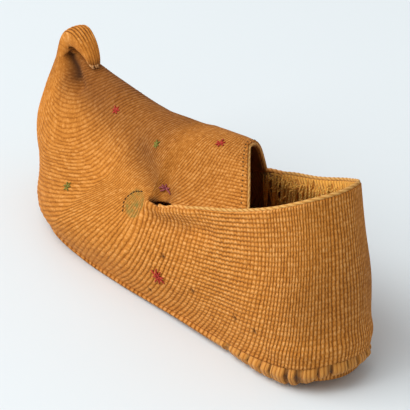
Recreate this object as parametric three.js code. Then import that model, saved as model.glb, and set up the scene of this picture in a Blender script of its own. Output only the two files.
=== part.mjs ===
// A slipper looped from plant fibre: a hollow upper with its toe drawn up and curled back,
// a flap over the instep, a sole gathered round the heel, a footbed mat and braided borders.
import * as THREE from "three";
import { mergeVertices } from "three/addons/utils/BufferGeometryUtils.js";

// Driving dimensions, in millimetres
const shoeLength = 246;
const ballWidth = 74;
const heelHeight = 101;
const instepHeight = 88;
const wall = 2.6;
const gap = 0.3;

// The curled toe: centre of the curl, its radius, and the strip that is rolled
const curl = { x: 221.5, z: 82.5, radius: 8, thick: 3.4, wideStart: 12, wideEnd: 9.5 };
const curlAngles = [20, 60, 100, 140, 170, 194];

// Sole: turned-up edge, gathers round the heel, and the flat it stands on
const edgeBulge = { heel: 2, front: 0.4, reach: 0.62, height: 0.72 };
const gather = { pitch: 6, depth: 1.3, reach: 72, fade: 20 };
const standInset = 4;
const edgeRound = { most: 10, share: 0.5, chamfer: 0.35 };
const prow = { least: 0.2, power: 8 };
const heelCentre = 28;
const bedHeight = 7;

// Footbed mat
const mat = { thick: 2.4, clear: 0.8, edge: 0.6, end: 0.91, round: 0.88 };

// Borders
const collarBraid = 2.2;
const collarStart = 0.3;
const flapBraid = 1.8;
const flapClear = 0.55;

// Sections from the middle of the heel to the toe. Each one is a rib of the fabric that starts on the
// sole's edge (foot), rises to the rim or shoulder, and on the vamp goes on to the crown.
// x is a share of the length, half of half the ball width, rim z of the heel height and crown z of
// the instep height. Foot z and floor (underside of the sole) are in mm. Angles are in degrees:
// turn is the way a rib faces, from straight back to sideways, flare and lean its slope at foot and rim.
const sections = [
  { turn: 0, flare: 4, lean: 3,
    foot: { x: 0.003, half: 0, z: 18, floor: 0 }, rim: { x: 0.035, half: 0, z: 1 } },
  { turn: 45, flare: 4, lean: 3,
    foot: { x: 0.035, half: 0.5, z: 15, floor: 0 }, rim: { x: 0.059, half: 0.42, z: 0.975 } },
  { turn: 82, flare: 6, lean: 3,
    foot: { x: 0.114, half: 0.7, z: 11, floor: 0 }, rim: { x: 0.124, half: 0.63, z: 0.891 } },
  { turn: 90, flare: 11, lean: 4,
    foot: { x: 0.252, half: 0.76, z: 6.8, floor: 0.8 }, rim: { x: 0.244, half: 0.72, z: 0.75 } },
  { turn: 90, flare: 17, lean: 8,
    foot: { x: 0.398, half: 0.84, z: 4.6, floor: 1.2 }, rim: { x: 0.374, half: 0.79, z: 0.629 } },
  { turn: 90, flare: 22, lean: 26,
    foot: { x: 0.545, half: 0.94, z: 3.4, floor: 0 }, rim: { x: 0.488, half: 0.79, z: 0.53 },
    crown: { x: 0.484, z: 0.955 } },
  { turn: 90, flare: 27, lean: 32,
    foot: { x: 0.675, half: 1, z: 3.2, floor: 0 }, rim: { x: 0.569, half: 0.8, z: 0.5 },
    crown: { x: 0.53, z: 0.909 } },
  { turn: 90, flare: 40, lean: 36,
    foot: { x: 0.793, half: 0.94, z: 3.6, floor: 0.4 }, rim: { x: 0.65, half: 0.78, z: 0.48 },
    crown: { x: 0.593, z: 0.875 } },
  { turn: 90, flare: 60, lean: 38,
    foot: { x: 0.89, half: 0.66, z: 6.6, floor: 3 }, rim: { x: 0.736, half: 0.71, z: 0.475 },
    crown: { x: 0.663, z: 0.855 } },
  { turn: 90, flare: 90, lean: 36,
    foot: { x: 0.967, half: 0, z: 16, floor: 14 }, rim: { x: 0.821, half: 0.61, z: 0.49 },
    crown: { x: 0.748, z: 0.857 } },
  { turn: 90, flare: 90, lean: 30,
    foot: { x: 0.998, half: 0, z: 32 }, rim: { x: 0.89, half: 0.45, z: 0.564 },
    crown: { x: 0.813, z: 0.866 } },
  { turn: 90, flare: 90, lean: 20,
    foot: { x: 0.984, half: 0, z: 54 }, rim: { x: 0.923, half: 0.31, z: 0.649 },
    crown: { x: 0.856, z: 0.882 } },
  { turn: 90, flare: 90, lean: 0,
    foot: { x: 0.957, half: 0, z: 72 }, rim: { x: 0.929, half: 0.22, z: 0.748 },
    crown: { x: 0.894, z: 0.898 } },
];
const throatRow = 5;
const soleEndRow = 9;
const tipRow = sections.length - 1;

// The flap, from the throat to its rear edge: left edge, crown and right edge, in mm
const flapRows = [
  { left: { x: 113, y: 25, z: 57.4 }, crown: { x: 112, y: -1, z: 85.3 },
    right: { x: 116, y: -28.4, z: 58.5 } },
  { left: { x: 93, y: 23, z: 62 }, crown: { x: 104, y: -2.5, z: 86.4 },
    right: { x: 110, y: -27.4, z: 62 } },
  { left: { x: 72, y: 21.6, z: 67.2 }, crown: { x: 96, y: -4.2, z: 87.2 },
    right: { x: 104.5, y: -26.4, z: 65 } },
  { left: { x: 51, y: 20.6, z: 72.8 }, crown: { x: 88, y: -6, z: 87.5 },
    right: { x: 99, y: -25, z: 67.5 } },
];
const flapLean = { left: 62, right: 24 };

// How finely the forms are cut into faces
const stepsPerSection = 4;
const curlSteps = 2;
const wallRows = 9;
const vampRows = 7;
const flapSteps = 12;
const soleSteps = 30;
const gatherSteps = 4;
const matSteps = 44;
const collarSteps = 64;
const flapBraidSteps = 24;
const lengthSteps = 600;

// Length of a rib's handles as a share of its rise and width
const handleShare = 0.52;

const degrees = Math.PI / 180;
const tiny = 1e-9;
const cornersPerMm = 1000;
const halfBall = ballWidth / 2;

function sectionPoints(row) {
  const { foot, rim, crown } = row;
  return {
    ...row,
    floor: foot.floor ?? 0,
    foot: new THREE.Vector3(foot.x * shoeLength, foot.half * halfBall, foot.z),
    rim: new THREE.Vector3(rim.x * shoeLength, rim.half * halfBall, rim.z * heelHeight),
    crown: crown && new THREE.Vector3(crown.x * shoeLength, 0, crown.z * instepHeight),
  };
}

// One section of the curl: outer face, side and inner face of the rolled strip
function curlSection(angle, index) {
  const share = index / (curlAngles.length - 1);
  const wide = THREE.MathUtils.lerp(curl.wideStart, curl.wideEnd, share);
  const at = (radius, half) => new THREE.Vector3(
    curl.x + radius * Math.cos(angle * degrees), half, curl.z + radius * Math.sin(angle * degrees));
  return {
    turn: 90, flare: 90, lean: 0, floor: 0,
    foot: at(curl.radius + curl.thick / 2, 0),
    rim: at(curl.radius, wide / 2),
    crown: at(curl.radius - curl.thick / 2, 0),
  };
}

const rows = [...sections.map(sectionPoints), ...curlAngles.map(curlSection)];
const lastRow = rows.length - 1;

function mirrored(point) {
  return new THREE.Vector3(point.x, -point.y, point.z);
}

// A guide line runs from the toe's end on the right, round the heel, to the toe's end on the left
function guideLine(pick) {
  const left = rows.map(pick);
  const right = left.slice(1).map(mirrored).reverse();
  return new THREE.CatmullRomCurve3([...right, ...left], false, "centripetal");
}

const footLine = guideLine((row) => row.foot);
const rimLine = guideLine((row) => row.rim);
const crownLine = new THREE.CatmullRomCurve3(rows.slice(throatRow).map((row) => row.crown));

function onGuide(line, station) {
  const point = line.getPoint((station + lastRow) / (2 * lastRow));
  const side = station < 0 ? -1 : 1;
  if (point.y * side < 0 || Math.abs(station) >= soleEndRow && line === footLine) point.y = 0;
  return point;
}

function onCrown(station) {
  return crownLine.getPoint((Math.abs(station) - throatRow) / (lastRow - throatRow));
}

// Angles and heights that change evenly from one section to the next
function between(key, station) {
  const place = Math.min(Math.abs(station), lastRow - tiny);
  const row = Math.floor(place);
  return THREE.MathUtils.lerp(rows[row][key], rows[row + 1][key], place - row);
}

function outward(station) {
  const turn = between("turn", station) * degrees;
  return new THREE.Vector3(-Math.cos(turn), (station < 0 ? -1 : 1) * Math.sin(turn), 0);
}

function blend(first, firstShare, second, secondShare) {
  return first.clone().multiplyScalar(firstShare).addScaledVector(second, secondShare);
}

// Handle length of a curve end that leaves at a slope from the rise towards the side
function handle(start, end, rise, out, slope) {
  const step = end.clone().sub(start);
  const along = Math.abs(step.dot(rise)) * Math.abs(Math.cos(slope));
  const across = Math.abs(step.dot(out)) * Math.abs(Math.sin(slope));
  return handleShare * (along + across);
}

// Rib of the wall from foot to rim, and its way on over the vamp from rim to crown
function wallRib(station) {
  const foot = onGuide(footLine, station);
  const rim = onGuide(rimLine, station);
  const out = outward(station);
  const rise = new THREE.Vector3(rim.x - foot.x, 0, rim.z - foot.z).normalize();
  const flare = between("flare", station) * degrees;
  const lean = between("lean", station) * degrees;
  const leaving = blend(rise, Math.cos(flare), out, Math.sin(flare));
  const arriving = blend(rise, Math.cos(lean), out, -Math.sin(lean));
  const first = blend(foot, 1, leaving, handle(foot, rim, rise, out, flare));
  const second = blend(rim, 1, arriving, -handle(foot, rim, rise, out, lean));
  return { curve: new THREE.CubicBezierCurve3(foot, first, second, rim), rim, rise, out, lean };
}

function archRib(edge, crown, rise, out, lean) {
  const leaving = blend(rise, Math.cos(lean), out, -Math.sin(lean));
  const first = blend(edge, 1, leaving, handle(edge, crown, rise, out, lean));
  const second = blend(crown, 1, out, handle(edge, crown, rise, out, Math.PI / 2));
  return new THREE.CubicBezierCurve3(edge, first, second, crown);
}

function vampRib(station) {
  const rib = wallRib(station);
  const crown = onCrown(station);
  const rise = new THREE.Vector3(crown.x - rib.rim.x, 0, crown.z - rib.rim.z).normalize();
  return archRib(rib.rim, crown, rise, rib.out, rib.lean);
}

// A sheet of triangles whose corners are shared
class Sheet {
  constructor() {
    this.points = [];
    this.faces = [];
    this.known = new Map();
  }

  corner(point) {
    const key = [point.x, point.y, point.z].map((value) => Math.round(value * cornersPerMm)).join();
    if (!this.known.has(key)) {
      this.known.set(key, this.points.length);
      this.points.push(point.clone());
    }
    return this.known.get(key);
  }

  face(a, b, c) {
    if (a !== b && b !== c && c !== a) this.faces.push([a, b, c]);
  }

  // Grid of points, faces to the side from which the lines run left to right and upwards
  grid(lines) {
    const ids = lines.map((line) => line.map((point) => this.corner(point)));
    for (let i = 1; i < ids.length; i += 1) {
      for (let j = 1; j < ids[i].length; j += 1) {
        this.face(ids[i - 1][j - 1], ids[i][j - 1], ids[i][j]);
        this.face(ids[i - 1][j - 1], ids[i][j], ids[i - 1][j]);
      }
    }
    return ids;
  }

  geometry() {
    const made = new THREE.BufferGeometry();
    const values = this.points.flatMap((point) => [point.x, point.y, point.z]);
    made.setAttribute("position", new THREE.Float32BufferAttribute(values, 3));
    made.setIndex(this.faces.flat());
    return made;
  }

  // Edges that only one face uses, in that face's direction
  openEdges() {
    const seen = new Set(this.faces.flatMap(([a, b, c]) => [`${a},${b}`, `${b},${c}`, `${c},${a}`]));
    return [...seen].map((key) => key.split(",").map(Number)).filter(([a, b]) => !seen.has(`${b},${a}`));
  }
}

function range(count) {
  return Array.from({ length: count + 1 }, (_, index) => index / count);
}

function stationsBetween(first, last, stepsEach) {
  return range(Math.round((last - first) * stepsEach)).map((share) => first + share * (last - first));
}

// Flap: its edges and crown as lines from the throat to the rear edge
function flapLines() {
  const start = { left: rows[throatRow].rim, crown: rows[throatRow].crown, right: mirrored(rows[throatRow].rim) };
  const line = (key) => new THREE.CatmullRomCurve3(
    [start[key], ...flapRows.map((row) => new THREE.Vector3(row[key].x, row[key].y, row[key].z))]);
  return { left: line("left"), crown: line("crown"), right: line("right") };
}

// Its sections lie straight across at the throat and turn to the slant of the rear edge
function flapSection(lines, share) {
  const crown = lines.crown.getPoint(share);
  const half = (key, side) => {
    const edge = lines[key].getPoint(share);
    const slant = edge.clone().sub(crown).setZ(0).normalize();
    const out = new THREE.Vector3(0, side, 0).lerp(slant, share).normalize();
    const rise = new THREE.Vector3(crown.x - edge.x, 0, crown.z - edge.z).normalize();
    rise.lerp(new THREE.Vector3(0, 0, 1), share).normalize();
    const lean = THREE.MathUtils.lerp(rows[throatRow].lean, flapLean[key], share) * degrees;
    return archRib(edge, crown, rise, out, lean);
  };
  const left = range(vampRows).map((step) => half("left", 1).getPoint(step));
  const right = range(vampRows).map((step) => half("right", -1).getPoint(step));
  return [...right, ...left.reverse().slice(1)];
}

function wallLine(station) {
  const { curve } = wallRib(station);
  return range(wallRows).map((step) => curve.getPoint(step));
}

function vampLine(station) {
  const left = range(vampRows).map((step) => vampRib(station).getPoint(step));
  const right = range(vampRows).map((step) => vampRib(-station).getPoint(step));
  return [...right, ...left.reverse().slice(1)];
}

function upperGeometry() {
  const sheet = new Sheet();
  const body = stationsBetween(0, tipRow, stepsPerSection);
  const front = stationsBetween(throatRow, tipRow, stepsPerSection);
  const roll = stationsBetween(tipRow, lastRow, curlSteps);
  const round = [...body.slice(1).map((station) => -station).reverse(), ...body];
  const lines = flapLines();
  sheet.grid(round.map(wallLine).reverse());
  sheet.grid(front.map(vampLine));
  sheet.grid(range(flapSteps).map((share) => flapSection(lines, share)).reverse());
  const inside = sheet.faces.length;
  const bodyPoints = sheet.points.length;

  // The curl is the toe's two walls pressed together, so it is full
  const tube = roll.map((station) => {
    const up = wallLine(station);
    const down = wallLine(-station);
    const over = vampLine(station);
    return [...down.slice().reverse(), ...up.slice(1), ...over.slice().reverse().slice(1)];
  });
  sheet.grid(tube.reverse());
  const endRing = tube[0].slice(1).map((point) => sheet.corner(point));
  const tipRing = tube[tube.length - 1].slice(1).map((point) => sheet.corner(point));
  const middle = (ids, points) => ids.reduce((sum, id) => sum.add(points[id]), new THREE.Vector3())
    .divideScalar(ids.length);
  const fan = (ids, centre, flip) => ids.forEach((id, index) => {
    const next = ids[(index + 1) % ids.length];
    sheet.face(centre, flip ? next : id, flip ? id : next);
  });
  fan(endRing, sheet.corner(middle(endRing, sheet.points)), false);

  // Inner face: the body moved in by the wall, level with the outer face where it meets the sole
  const skin = sheet.geometry();
  skin.computeVertexNormals();
  const normal = new THREE.Vector3();
  const footIds = new Set(round.filter((station) => Math.abs(station) <= soleEndRow)
    .map((station) => sheet.corner(onGuide(footLine, station))));
  const edges = sheet.openEdges();
  const innerOf = sheet.points.slice(0, bodyPoints).map((point, id) => {
    normal.fromBufferAttribute(skin.attributes.normal, id);
    const moved = point.clone().addScaledVector(normal, -wall);
    if (footIds.has(id)) moved.z = point.z;
    sheet.points.push(moved);
    return sheet.points.length - 1;
  });
  sheet.faces.slice(0, inside).forEach(([a, b, c]) => sheet.face(innerOf[c], innerOf[b], innerOf[a]));
  edges.forEach(([a, b]) => {
    sheet.face(b, a, innerOf[a]);
    sheet.face(b, innerOf[a], innerOf[b]);
  });
  const innerTip = tipRing.map((id) => innerOf[id]);
  sheet.points.push(middle(innerTip, sheet.points));
  fan(innerTip, sheet.points.length - 1, true);
  return sheet.geometry();
}

// The sole's edge by its length from the middle of the heel
const edgeLengths = (() => {
  const table = [{ length: 0, station: 0 }];
  for (let i = 1; i <= lengthSteps; i += 1) {
    const station = soleEndRow * i / lengthSteps;
    const step = onGuide(footLine, station).distanceTo(onGuide(footLine, table[i - 1].station));
    table.push({ length: table[i - 1].length + step, station });
  }
  return table;
})();
const edgeEnd = edgeLengths[edgeLengths.length - 1].length;

function stationAt(length) {
  const index = edgeLengths.findIndex((entry) => entry.length >= length - tiny);
  return edgeLengths[index < 0 ? edgeLengths.length - 1 : index].station;
}

// Rounded lumps of the gathers, deepest at the heel's sides and fading towards the waist
function gatherBulge(length) {
  if (length >= gather.reach) return 0;
  const fade = Math.min(1, (gather.reach - length) / gather.fade);
  return -gather.depth * fade * (1 - Math.abs(Math.cos(Math.PI * length / gather.pitch)));
}

// Height of the sole inside the shoe: level in the heel's cup, then just under the upper's edge
function bedAt(station, edge) {
  const top = edge.z - gap;
  return Math.abs(station) < throatRow ? Math.min(top, bedHeight) : top;
}

function soleProfile(station, length) {
  const edge = onGuide(footLine, station);
  const out = outward(station);
  const share = Math.abs(station) / soleEndRow;
  const floor = between("floor", station);
  const top = edge.z - gap;
  const bed = bedAt(station, edge);
  const bulge = THREE.MathUtils.lerp(edgeBulge.heel, edgeBulge.front, Math.min(1, share / edgeBulge.reach));
  const lump = gatherBulge(length);
  const reach = Math.max(prow.least, 1 - share ** prow.power);
  const middleX = Math.max(heelCentre, edge.x);
  const at = (offset, z) => {
    const point = blend(edge, 1, out, offset).setZ(z);
    if (Math.abs(station) >= soleEndRow) point.y = 0;
    return point;
  };
  const round = Math.min(edgeRound.most, edgeRound.share * (top - floor));
  const chamfer = edgeRound.chamfer * round;
  return [
    new THREE.Vector3(middleX, 0, floor),
    at(-(standInset + round) * reach, floor),
    at(-chamfer * reach, floor + chamfer),
    at((bulge / 2 + lump) * reach, floor + round),
    at((bulge + lump) * reach, floor + edgeBulge.height * (top - floor)),
    at(0, top),
    at(-wall * reach, top),
    at(-(wall + mat.clear / 2) * reach, bed),
    new THREE.Vector3(middleX, 0, bed),
  ];
}

const soleLengths = (() => {
  const fine = gather.pitch / gatherSteps;
  const lengths = range(Math.round(gather.reach / fine)).map((share) => share * gather.reach);
  const rest = range(soleSteps).slice(1).map((share) => gather.reach + share * (edgeEnd - gather.reach));
  return [...lengths, ...rest];
})();

function lofted(profile, lengths) {
  const sheet = new Sheet();
  const both = [...lengths.slice(1).map((length) => -length).reverse(), ...lengths];
  const lines = both.map((length) => profile(Math.sign(length) * stationAt(Math.abs(length)), Math.abs(length)));
  sheet.grid(lines.reverse());
  return sheet.geometry();
}

const matLengths = range(matSteps).map((share) => share * edgeEnd * mat.end);
function matProfile(station, length) {
  const edge = onGuide(footLine, station);
  const out = outward(station);
  const inset = wall + mat.clear;
  const base = bedAt(station, edge) + gap;
  const middleX = Math.max(heelCentre, edge.x);
  const past = Math.max(0, length / (edgeEnd * mat.end) - mat.round) / (1 - mat.round);
  const narrow = Math.sqrt(Math.max(0, 1 - past ** 2));
  const at = (offset, z) => {
    const point = blend(edge, 1, out, -offset).setZ(z);
    return point.setY(point.y * narrow);
  };
  return [
    new THREE.Vector3(middleX, 0, base),
    at(inset + mat.edge, base),
    at(inset, base + mat.edge),
    at(inset + mat.edge, base + mat.thick),
    new THREE.Vector3(middleX, 0, base + mat.thick),
  ];
}

// A border is a cord laid along the middle of an edge, just clear of it
function braidGeometry(points, diameter, steps) {
  const section = new THREE.Shape();
  section.absarc(0, 0, diameter / 2, 0, 2 * Math.PI);
  const path = new THREE.CatmullRomCurve3(points);
  const shape = { steps, curveSegments: 4, bevelEnabled: false, extrudePath: path };
  const made = new THREE.ExtrudeGeometry(section, shape);
  made.deleteAttribute("normal");
  made.deleteAttribute("uv");
  return mergeVertices(made);
}

function collarPoints() {
  const reach = throatRow - collarStart;
  return stationsBetween(-reach, reach, stepsPerSection).map((station) => {
    const { rim, rise, out, lean } = wallRib(station);
    const up = blend(rise, Math.cos(lean), out, -Math.sin(lean));
    const inward = blend(rise, -Math.sin(lean), out, -Math.cos(lean));
    return blend(rim, 1, inward, wall / 2).addScaledVector(up, collarBraid / 2 + gap);
  });
}

function flapPoints() {
  const lines = flapLines();
  const edge = flapSection(lines, 1);
  const before = flapSection(lines, 1 - 1 / flapSteps);
  return edge.map((point, index) => {
    const next = edge[Math.min(index + 1, edge.length - 1)];
    const along = next.clone().sub(edge[Math.max(index - 1, 0)]).normalize();
    const back = point.clone().sub(before[index]);
    back.addScaledVector(along, -back.dot(along)).normalize();
    const inward = along.clone().cross(back).negate();
    return blend(point, 1, back, flapBraid / 2 + flapClear).addScaledVector(inward, wall / 2);
  });
}

function fibre(colour, roughness) {
  return new THREE.MeshStandardMaterial({ color: colour, roughness, metalness: 0 });
}

const shoe = new THREE.Group();

function add(name, geometry, material) {
  const mesh = new THREE.Mesh(geometry, material);
  mesh.name = name;
  shoe.add(mesh);
  return mesh;
}

add("upper", upperGeometry(), fibre(0xb9793a, 0.9));
add("sole", lofted(soleProfile, soleLengths), fibre(0xa86c33, 0.92));
add("insole", lofted(matProfile, matLengths), fibre(0xb98a45, 0.92));

add("collar_braid", braidGeometry(collarPoints(), collarBraid, collarSteps), fibre(0xd9a55f, 0.9));
add("flap_braid", braidGeometry(flapPoints(), flapBraid, flapBraidSteps), fibre(0xd9a55f, 0.9));

// The origin lies under the middle of the shoe, on the floor
const extent = new THREE.Box3().setFromObject(shoe);
const centre = extent.getCenter(new THREE.Vector3());
shoe.position.set(-centre.x, -centre.y, -extent.min.z);

export default shoe;
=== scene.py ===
import random

import bmesh
import bpy
import numpy as np
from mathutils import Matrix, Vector
from mathutils.bvhtree import BVHTree


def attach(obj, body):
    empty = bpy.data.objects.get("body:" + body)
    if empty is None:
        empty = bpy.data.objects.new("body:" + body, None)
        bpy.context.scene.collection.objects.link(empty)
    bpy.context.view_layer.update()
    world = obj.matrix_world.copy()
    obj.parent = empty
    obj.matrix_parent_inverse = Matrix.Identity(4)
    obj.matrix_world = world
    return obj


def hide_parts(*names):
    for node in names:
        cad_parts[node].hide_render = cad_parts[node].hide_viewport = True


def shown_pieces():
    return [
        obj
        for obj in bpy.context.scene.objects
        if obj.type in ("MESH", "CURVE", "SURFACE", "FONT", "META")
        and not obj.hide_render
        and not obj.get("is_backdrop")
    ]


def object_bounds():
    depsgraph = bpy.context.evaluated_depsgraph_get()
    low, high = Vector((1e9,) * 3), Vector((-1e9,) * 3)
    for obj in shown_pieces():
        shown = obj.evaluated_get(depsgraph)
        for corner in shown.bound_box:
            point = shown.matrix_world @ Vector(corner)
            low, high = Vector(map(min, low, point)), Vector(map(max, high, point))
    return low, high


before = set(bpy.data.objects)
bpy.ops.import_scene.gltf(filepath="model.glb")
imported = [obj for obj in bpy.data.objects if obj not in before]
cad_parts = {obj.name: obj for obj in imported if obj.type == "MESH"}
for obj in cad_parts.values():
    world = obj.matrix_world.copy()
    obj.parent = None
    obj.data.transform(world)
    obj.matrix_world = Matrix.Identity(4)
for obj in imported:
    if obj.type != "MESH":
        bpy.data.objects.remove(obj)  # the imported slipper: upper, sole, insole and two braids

cadLow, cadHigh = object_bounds()
mm = 0.001
print("frame loaded", [round(v, 4) for v in cadHigh - cadLow])


# The last in mm from the back of the heel. A rib of the fabric starts on the sole's edge (foot), rises to
# the rim or shoulder, and in front of the throat goes on to the crown. Angles in degrees.
sectionColumns = ("turn", "flare", "lean", "footX", "footHalf", "footZ", "floor",
                  "rimX", "rimHalf", "rimZ", "crownX", "crownZ")
sectionRows = [
    (0, 4, 3, 0.7, 0, 18, 0, 8.6, 0, 101, 0, 0),
    (45, 4, 3, 8.6, 18.5, 15, 0, 14.5, 15.5, 98.5, 0, 0),
    (82, 6, 3, 28, 25.9, 11, 0, 30.5, 23.3, 90, 0, 0),
    (90, 11, 4, 62, 28.1, 6.8, 0.8, 60, 26.6, 75.8, 0, 0),
    (90, 17, 8, 97.9, 31.1, 4.6, 1.2, 92, 29.2, 63.5, 0, 0),
    (90, 22, 26, 134.1, 34.8, 3.4, 0, 120, 29.2, 53.5, 119.1, 84),
    (90, 27, 32, 166, 37, 3.2, 0, 140, 29.6, 50.5, 130.4, 80),
    (90, 40, 36, 195.1, 34.8, 3.6, 0.4, 159.9, 28.9, 48.5, 145.9, 77),
    (90, 60, 38, 218.9, 24.4, 6.6, 3, 181.1, 26.3, 48, 163.1, 75.2),
    (90, 90, 36, 237.9, 0, 16, 14, 202, 22.6, 49.5, 184, 75.4),
    (90, 90, 30, 245.5, 0, 32, 0, 218.9, 16.6, 57, 200, 76.2),
    (90, 90, 20, 242.1, 0, 54, 0, 227.1, 11.5, 65.5, 210.6, 77.6),
    (90, 90, 0, 235.4, 0, 72, 0, 228.5, 8.1, 75.5, 219.9, 79),
]
throat, soleEnd, toeTip = 5, 9, 12  # sections where the flap starts, the sole ends and the curl starts
curl = {"x": 221.5, "z": 82.5, "radius": 8, "thick": 3.4, "wide": (12, 9.5),
        "angles": (20, 60, 100, 140, 170, 194)}
slopesInCurl = {"turn": 90, "flare": 90, "lean": 0, "floor": 0}
flapRows = {  # from the throat to the rear edge
    "left": [(113, 26.3, 56), (93, 25.7, 60.6), (72, 24, 67), (51, 22, 72.8)],
    "crown": [(112, -1, 85.3), (104, -2.5, 86.4), (96, -4.2, 87.2), (88, -6, 87.5)],
    "right": [(115.5, -28.2, 56), (109.5, -27, 58.4), (104, -26, 60.8), (98.5, -24.8, 63.2)],
}
flapLean = {"left": 62, "right": 24}
handleShare = 0.52  # a rib's handles as a share of its rise and width
curveSteps = 40  # steps along a curve before it is cut into even rows
sheetRows = 60  # rows where a sheet only gives a line to lay things on


def sectionColumn(name):
    return np.array([row[sectionColumns.index(name)] for row in sectionRows], float)


curlTurns = np.radians(curl["angles"])
curlHalf = np.linspace(*curl["wide"], len(curlTurns)) / 2
lastStation = toeTip + len(curlTurns)
stationList = np.arange(lastStation + 1)


def withCurl(name, radius, curlWidth):  # a line through the sections, and on round the curl
    x, z = sectionColumn(name + "X"), sectionColumn(name + "Z")
    half = sectionColumn(name + "Half") if name + "Half" in sectionColumns else 0 * x
    rollX, rollZ = curl["x"] + radius * np.cos(curlTurns), curl["z"] + radius * np.sin(curlTurns)
    return np.vstack([np.stack([x, half, z], 1), np.stack([rollX, curlWidth, rollZ], 1)])


footPoints = withCurl("foot", curl["radius"] + curl["thick"] / 2, 0 * curlHalf)
rimPoints = withCurl("rim", curl["radius"], curlHalf)
crownPoints = withCurl("crown", curl["radius"] - curl["thick"] / 2, 0 * curlHalf)[throat:]


def smoothLine(points, places):  # centripetal curve through the points, read at whole and part numbers
    points = np.asarray(points, float)
    padded = np.vstack([2 * points[0] - points[1], points, 2 * points[-1] - points[-2]])
    index = np.clip(np.floor(places).astype(int), 0, len(points) - 2)
    t = (places - index)[:, None]
    p0, p1, p2, p3 = (padded[index + k] for k in range(4))
    d0, d1, d2 = (((b - a) ** 2).sum(1, keepdims=True) ** 0.25 for a, b in ((p0, p1), (p1, p2), (p2, p3)))
    leave = d1 * ((p1 - p0) / d0 - (p2 - p0) / (d0 + d1) + (p2 - p1) / d1)
    arrive = d1 * ((p2 - p1) / d1 - (p3 - p1) / (d1 + d2) + (p3 - p2) / d2)
    return p1 + t * (leave + t * (3 * (p2 - p1) - 2 * leave - arrive + t * (2 * (p1 - p2) + leave + arrive)))


def lengthAlong(line):
    return np.append(0, np.cumsum(np.linalg.norm(np.diff(line, axis=0), axis=1)))


def pointsAt(line, length, places):
    return np.stack([np.interp(places, length, line[:, axis]) for axis in range(3)], 1)


def mirrored(half):  # from the far end on the right, through 0, to the far end on the left
    return np.concatenate([-half[:0:-1], half])


def sideOf(stations):
    return np.where(stations < 0, -1.0, 1.0)


def guide(points, stations):  # from the toe on the right, round the heel, to the toe on the left
    both = np.vstack([points[:0:-1] * (1, -1, 1), points])
    line = smoothLine(both, stations + lastStation)
    line[:, 1] = np.where(line[:, 1] * sideOf(stations) < 0, 0, line[:, 1])
    return line


def footLine(stations):
    line = guide(footPoints, stations)
    line[np.abs(stations) >= soleEnd, 1] = 0
    return line


def slopeAt(name, stations):
    values = np.append(sectionColumn(name), [slopesInCurl[name]] * len(curlTurns))
    return np.interp(np.abs(stations), stationList, values)


def outwardAt(stations):
    turn = np.radians(slopeAt("turn", stations))
    return np.stack([-np.cos(turn), sideOf(stations) * np.sin(turn), 0 * turn], 1)


def dot(a, b):
    return (a * b).sum(-1, keepdims=True)


def unit(a):
    return a / np.maximum(np.linalg.norm(a, axis=-1, keepdims=True), 1e-9)


def handle(start, end, rise, out, slope):
    step = end - start
    return handleShare * (np.abs(dot(step, rise) * np.cos(slope)) + np.abs(dot(step, out) * np.sin(slope)))


def evenCurve(p0, p1, p2, p3, rows):  # cubic ribs, each cut into rows of even length
    t = np.linspace(0, 1, curveSteps + 1)[None, :, None]
    p0, p1, p2, p3 = (p[:, None, :] for p in (p0, p1, p2, p3))
    fine = p0 * (1 - t) ** 3 + 3 * p1 * t * (1 - t) ** 2 + 3 * p2 * t ** 2 * (1 - t) + p3 * t ** 3
    shares = np.linspace(0, 1, rows + 1)
    lengths = [lengthAlong(rib) for rib in fine]
    return np.stack([pointsAt(rib, length, shares * length[-1]) for rib, length in zip(fine, lengths)])


def ribEnds(stations):
    foot, rim = footLine(stations), guide(rimPoints, stations)
    rise = unit((rim - foot) * (1, 0, 1))
    return foot, rim, rise, outwardAt(stations), np.radians(slopeAt("lean", stations))[:, None]


def wallSheet(stations, rows):  # foot to rim
    foot, rim, rise, out, lean = ribEnds(stations)
    flare = np.radians(slopeAt("flare", stations))[:, None]
    leaving = rise * np.cos(flare) + out * np.sin(flare)
    arriving = rise * np.cos(lean) - out * np.sin(lean)
    first = foot + leaving * handle(foot, rim, rise, out, flare)
    second = rim - arriving * handle(foot, rim, rise, out, lean)
    return evenCurve(foot, first, second, rim, rows)


def levelRise(edge, crown):
    return unit((crown - edge) * (1, 0, 1))


def archSheet(edge, crown, rise, out, lean, rows):  # rim or flap edge to crown
    leaving = rise * np.cos(lean) - out * np.sin(lean)
    first = edge + leaving * handle(edge, crown, rise, out, lean)
    second = crown + out * handle(edge, crown, rise, out, np.pi / 2)
    return evenCurve(edge, first, second, crown, rows)


def vampSheet(stations, rows):
    _, rim, _, out, lean = ribEnds(stations)
    crown = smoothLine(crownPoints, np.abs(stations) - throat)
    return archSheet(rim, crown, levelRise(rim, crown), out, lean, rows)


def flapSheet(shares, rows):  # right edge, crown, left edge; its sections turn to the rear edge's slant
    starts = {"left": rimPoints[throat], "crown": crownPoints[0], "right": rimPoints[throat] * (1, -1, 1)}
    lines = {k: smoothLine(np.vstack([starts[k], flapRows[k]]), shares * len(flapRows[k])) for k in starts}
    share, throatLean = shares[:, None], slopeAt("lean", np.array([throat]))[0]
    halves = {}
    for key, side in (("right", -1.0), ("left", 1.0)):
        edge, crown = lines[key], lines["crown"]
        slant = unit((edge - crown) * (1, 1, 0))
        out = unit((1 - share) * np.array((0, side, 0)) + share * slant)
        rise = unit((1 - share) * levelRise(edge, crown) + share * np.array((0, 0, 1.0)))
        lean = np.radians(throatLean + (flapLean[key] - throatLean) * share)
        halves[key] = archSheet(edge, crown, rise, out, lean, rows)
    return np.concatenate([halves["right"], halves["left"][:, -2::-1]], 1)


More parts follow.
